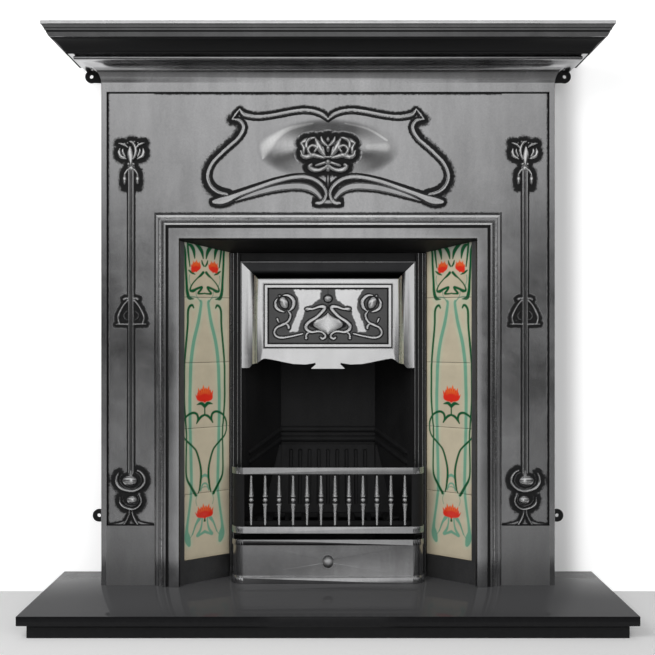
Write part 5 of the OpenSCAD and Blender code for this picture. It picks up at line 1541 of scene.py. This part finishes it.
def room_light():
    """Light of the room: white for the camera; for all else a bright belt, and a strip down its front."""
    world = bpy.data.worlds.new("room")
    bpy.context.scene.world = world
    world.use_nodes = True
    tree = world.node_tree
    tree.nodes.clear()
    apart = node(tree, "ShaderNodeSeparateXYZ")
    join(tree, (node(tree, "ShaderNodeTexCoord").outputs["Generated"], apart.inputs[0]))
    x, y, z = apart.outputs
    ahead = calc(tree, "MAXIMUM", calc(tree, "MULTIPLY", y, -1.0), 0.01)
    aside = calc(tree, "DIVIDE", calc(tree, "ABSOLUTE", x), ahead)
    strip = to_range(tree, aside, 0.09, 0.135, 1.0, 0.0, True)
    level = mix_colour(tree, strip, room_level(tree, z, ROOM_ROUND), room_level(tree, z, ROOM_STRIP))
    level = mix_colour(tree, 1.0, level, to_range(tree, aside, 0.4, 1.6, 1.0, 0.45, True), "MULTIPLY")
    level = mix_colour(tree, 1.0, level, to_range(tree, x, 0.12, 0.21, 1.06, 0.84, True), "MULTIPLY")
    white = node(tree, "ShaderNodeBackground", {"Strength": 1.0, "Color": (1, 1, 1, 1)})
    room = node(tree, "ShaderNodeBackground", {"Strength": bpy.context.scene.fireplace_stage.room})
    chosen = node(tree, "ShaderNodeMixShader")
    path = node(tree, "ShaderNodeLightPath")
    join(tree, (level, room.inputs["Color"]), (path.outputs["Is Camera Ray"], chosen.inputs[0]),
         (room.outputs[0], chosen.inputs[1]), (white.outputs[0], chosen.inputs[2]),
         (chosen.outputs[0], node(tree, "ShaderNodeOutputWorld").inputs["Surface"]))


def lamp(name, watts, size, place, aim):
    """An area lamp, kept out of reflections."""
    light = bpy.data.lights.new(name, "AREA")
    light.shape = "RECTANGLE"
    light.size, light.size_y = size
    light.energy = watts
    obj = bpy.data.objects.new(name, light)
    bpy.context.collection.objects.link(obj)
    obj.location = place
    obj.rotation_euler = (Vector(aim) - Vector(place)).to_track_quat("-Z", "Y").to_euler()
    obj.visible_glossy = False
    return obj


def camera():
    """The photograph's viewpoint, level and straight in front."""
    data = bpy.data.cameras.new("camera")
    obj = bpy.data.objects.new("camera", data)
    bpy.context.collection.objects.link(obj)
    data.sensor_width = 36
    data.lens = 54.52
    data.shift_x = -0.0008
    data.shift_y = -0.0023
    data.clip_start, data.clip_end = 0.05, 50
    obj.location = CAMERA_AT
    obj.rotation_euler = (math.pi / 2, 0, 0)
    bpy.context.scene.camera = obj


# ------------------------------------------------------------------ operators

class FIREPLACE_OT_finishes(Operator):
    """Makes the iron, stone and glaze finishes, and lays them on the pieces kept from the solids"""
    bl_idname = "fireplace.finishes"
    bl_label = "Finishes"

    def execute(self, context):
        make_finishes()
        for name, finish in KEPT_NODES.items():
            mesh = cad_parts[name].data
            mesh.materials.clear()
            mesh.materials.append(FINISHES[finish])
        return {"FINISHED"}


class FIREPLACE_OT_front(Operator):
    """Builds the front casting: legs, frieze, border, foot blocks, moulding, cornice and back"""
    bl_idname = "fireplace.front"
    bl_label = "Front casting"

    def execute(self, context):
        opening_moulding()
        pieces = [casting_shell(), top_band()]
        for side in (-1, 1):
            pieces += [side_border(side), foot_block(side)]
            for face in (leg_face(side), frieze_face(side)):
                boundary_back(face, PLATE_BACK)
                pieces.append(smooth(face, 50))
        for piece in pieces:
            finish = "foot_iron" if piece.name.startswith("foot_block") else "polished_iron"
            set_piece(piece, finish, nodes=["front_casting"])
        return {"FINISHED"}


class FIREPLACE_OT_hood(Operator):
    """Builds the hood with its relief panel"""
    bl_idname = "fireplace.hood"
    bl_label = "Hood"

    def execute(self, context):
        panel = smooth(boundary_back(hood_panel(), -30.0), 50)
        set_piece(panel, "bright_iron")
        for piece in (hood_shell(), panel):
            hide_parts("canopy")
        return {"FINISHED"}


class FIREPLACE_OT_tiles(Operator):
    """Builds the ten painted tiles"""
    bl_idname = "fireplace.tiles"
    bl_label = "Tiles"

    def execute(self, context):
        for side in (-1, 1):
            for row in range(5):
                obj, name = tile(side, row)
                set_piece(obj, "glazed_tile", nodes=[name])
        return {"FINISHED"}


class FIREPLACE_OT_shelf(Operator):
    """Builds the shelf: its board and its moulded edge"""
    bl_idname = "fireplace.shelf"
    bl_label = "Shelf"

    def execute(self, context):
        mantel_shelf()
        return {"FINISHED"}


class FIREPLACE_OT_castings(Operator):
    """Builds the arch plate, the basket, the ash pan cover and the firebox castings"""
    bl_idname = "fireplace.castings"
    bl_label = "Insert and basket"

    def execute(self, context):
        for name, body, finish in SMOOTHED_NODES:
            smoothed(name, body, finish)
        arch_plate()
        basket_front()
        return {"FINISHED"}


class FIREPLACE_OT_hearth(Operator):
    """Builds the boxed stone hearth"""
    bl_idname = "fireplace.hearth"
    bl_label = "Hearth"

    def execute(self, context):
        for name in STONE_NODES:
            stone(name)
        return {"FINISHED"}


class FIREPLACE_OT_stage(Operator):
    """Sets up the floor, the backdrop, the lamps and the camera"""
    bl_idname = "fireplace.stage"
    bl_label = "Stage"

    def execute(self, context):
        stage = context.scene.fireplace_stage
        ground = white_ground("white_wall", WALL_GLOW)
        ground_painted_shadow = white_ground("white_wall_right", WALL_GLOW, SHADOW_STRETCH)
        pale = white_ground("white_floor", FLOOR_GLOW)
        lying("floor", pale, (FLOOR_FRONT, BACKDROP_Y))
        # more floor for the camera alone, before and behind the stretch that the iron reflects
        lying("floor_near", pale, (-STAGE_REACH, FLOOR_FRONT))
        lying("floor_far", pale, (BACKDROP_Y, STAGE_REACH))
        # the wall opens behind the casting, and carries a painted shadow beside its right side up to the
        # shelf
        left, right = (-STAGE_REACH, -OPENING_X), (OPENING_X, STAGE_REACH)
        standing("wall_left", ground, left, (0, OPENING_TOP))
        standing("wall_right", ground_painted_shadow, right, (0, OPENING_TOP))
        standing("wall_over_left", ground, (-STAGE_REACH, OPENING_X), (OPENING_TOP, WALL_TOP))
        standing("wall_over_right", ground_painted_shadow, right, (OPENING_TOP, SHADOW_TOP))
        standing("wall_top_right", ground, right, (SHADOW_TOP, WALL_TOP))
        # dark ground behind the firebox, and under it, as painted shade, where it narrows to the back as the
        # firebox does
        dark = painted_shade_recess()
        standing("recess_back", dark, (-OPENING_X, OPENING_X), (0, OPENING_TOP), RECESS_Y)
        lying("recess_floor", dark, (BACKDROP_Y, RECESS_Y), RECESS_FLOOR_X, RECESS_FLOOR_Z)
        room_light()
        lamp("key_lamp", stage.key, (1.6, 1.2), (-1.5, -2.2, 2.0), (0, 0, 0.6))
        lamp("fill_lamp", stage.fill, (1.6, 1.6), (0.9, -2.4, 1.0), (0, 0, 0.6))
        camera()
        view = context.scene.view_settings
        view.view_transform = "Standard"
        return {"FINISHED"}


OPERATORS = (FIREPLACE_OT_finishes, FIREPLACE_OT_front, FIREPLACE_OT_hood, FIREPLACE_OT_tiles,
             FIREPLACE_OT_shelf, FIREPLACE_OT_castings, FIREPLACE_OT_hearth, FIREPLACE_OT_stage)
STEPS = [cls.bl_idname for cls in OPERATORS]


class FIREPLACE_PT_pieces(Panel):
    """Lists the steps that build the fireplace"""
    bl_idname = "FIREPLACE_PT_pieces"
    bl_label = "Tiled fireplace"
    bl_space_type = "VIEW_3D"
    bl_region_type = "UI"
    bl_category = "Fireplace"

    def draw(self, context):
        for group in (getattr(context.scene, name) for name in SETTINGS):
            box = self.layout.box()
            for key in group.bl_rna.properties.keys():
                if key not in {"rna_type", "name"}:
                    box.prop(group, key)
        for step in STEPS:
            self.layout.operator(step)


SETTINGS = {"fireplace_sizes": FireplaceSizes, "fireplace_colours": FireplaceColours,
            "fireplace_stage": FireplaceStage}
CLASSES = (*SETTINGS.values(), *OPERATORS, FIREPLACE_PT_pieces)


def register():
    for cls in CLASSES:
        bpy.utils.register_class(cls)
    for name, group in SETTINGS.items():
        setattr(bpy.types.Scene, name, PointerProperty(type=group))


def unregister():
    for name in SETTINGS:
        delattr(bpy.types.Scene, name)
    for cls in reversed(CLASSES):
        bpy.utils.unregister_class(cls)


def main():
    register()
    for step in STEPS:
        group, name = step.split(".")
        getattr(getattr(bpy.ops, group), name)()


if __name__ == "__main__":
    main()
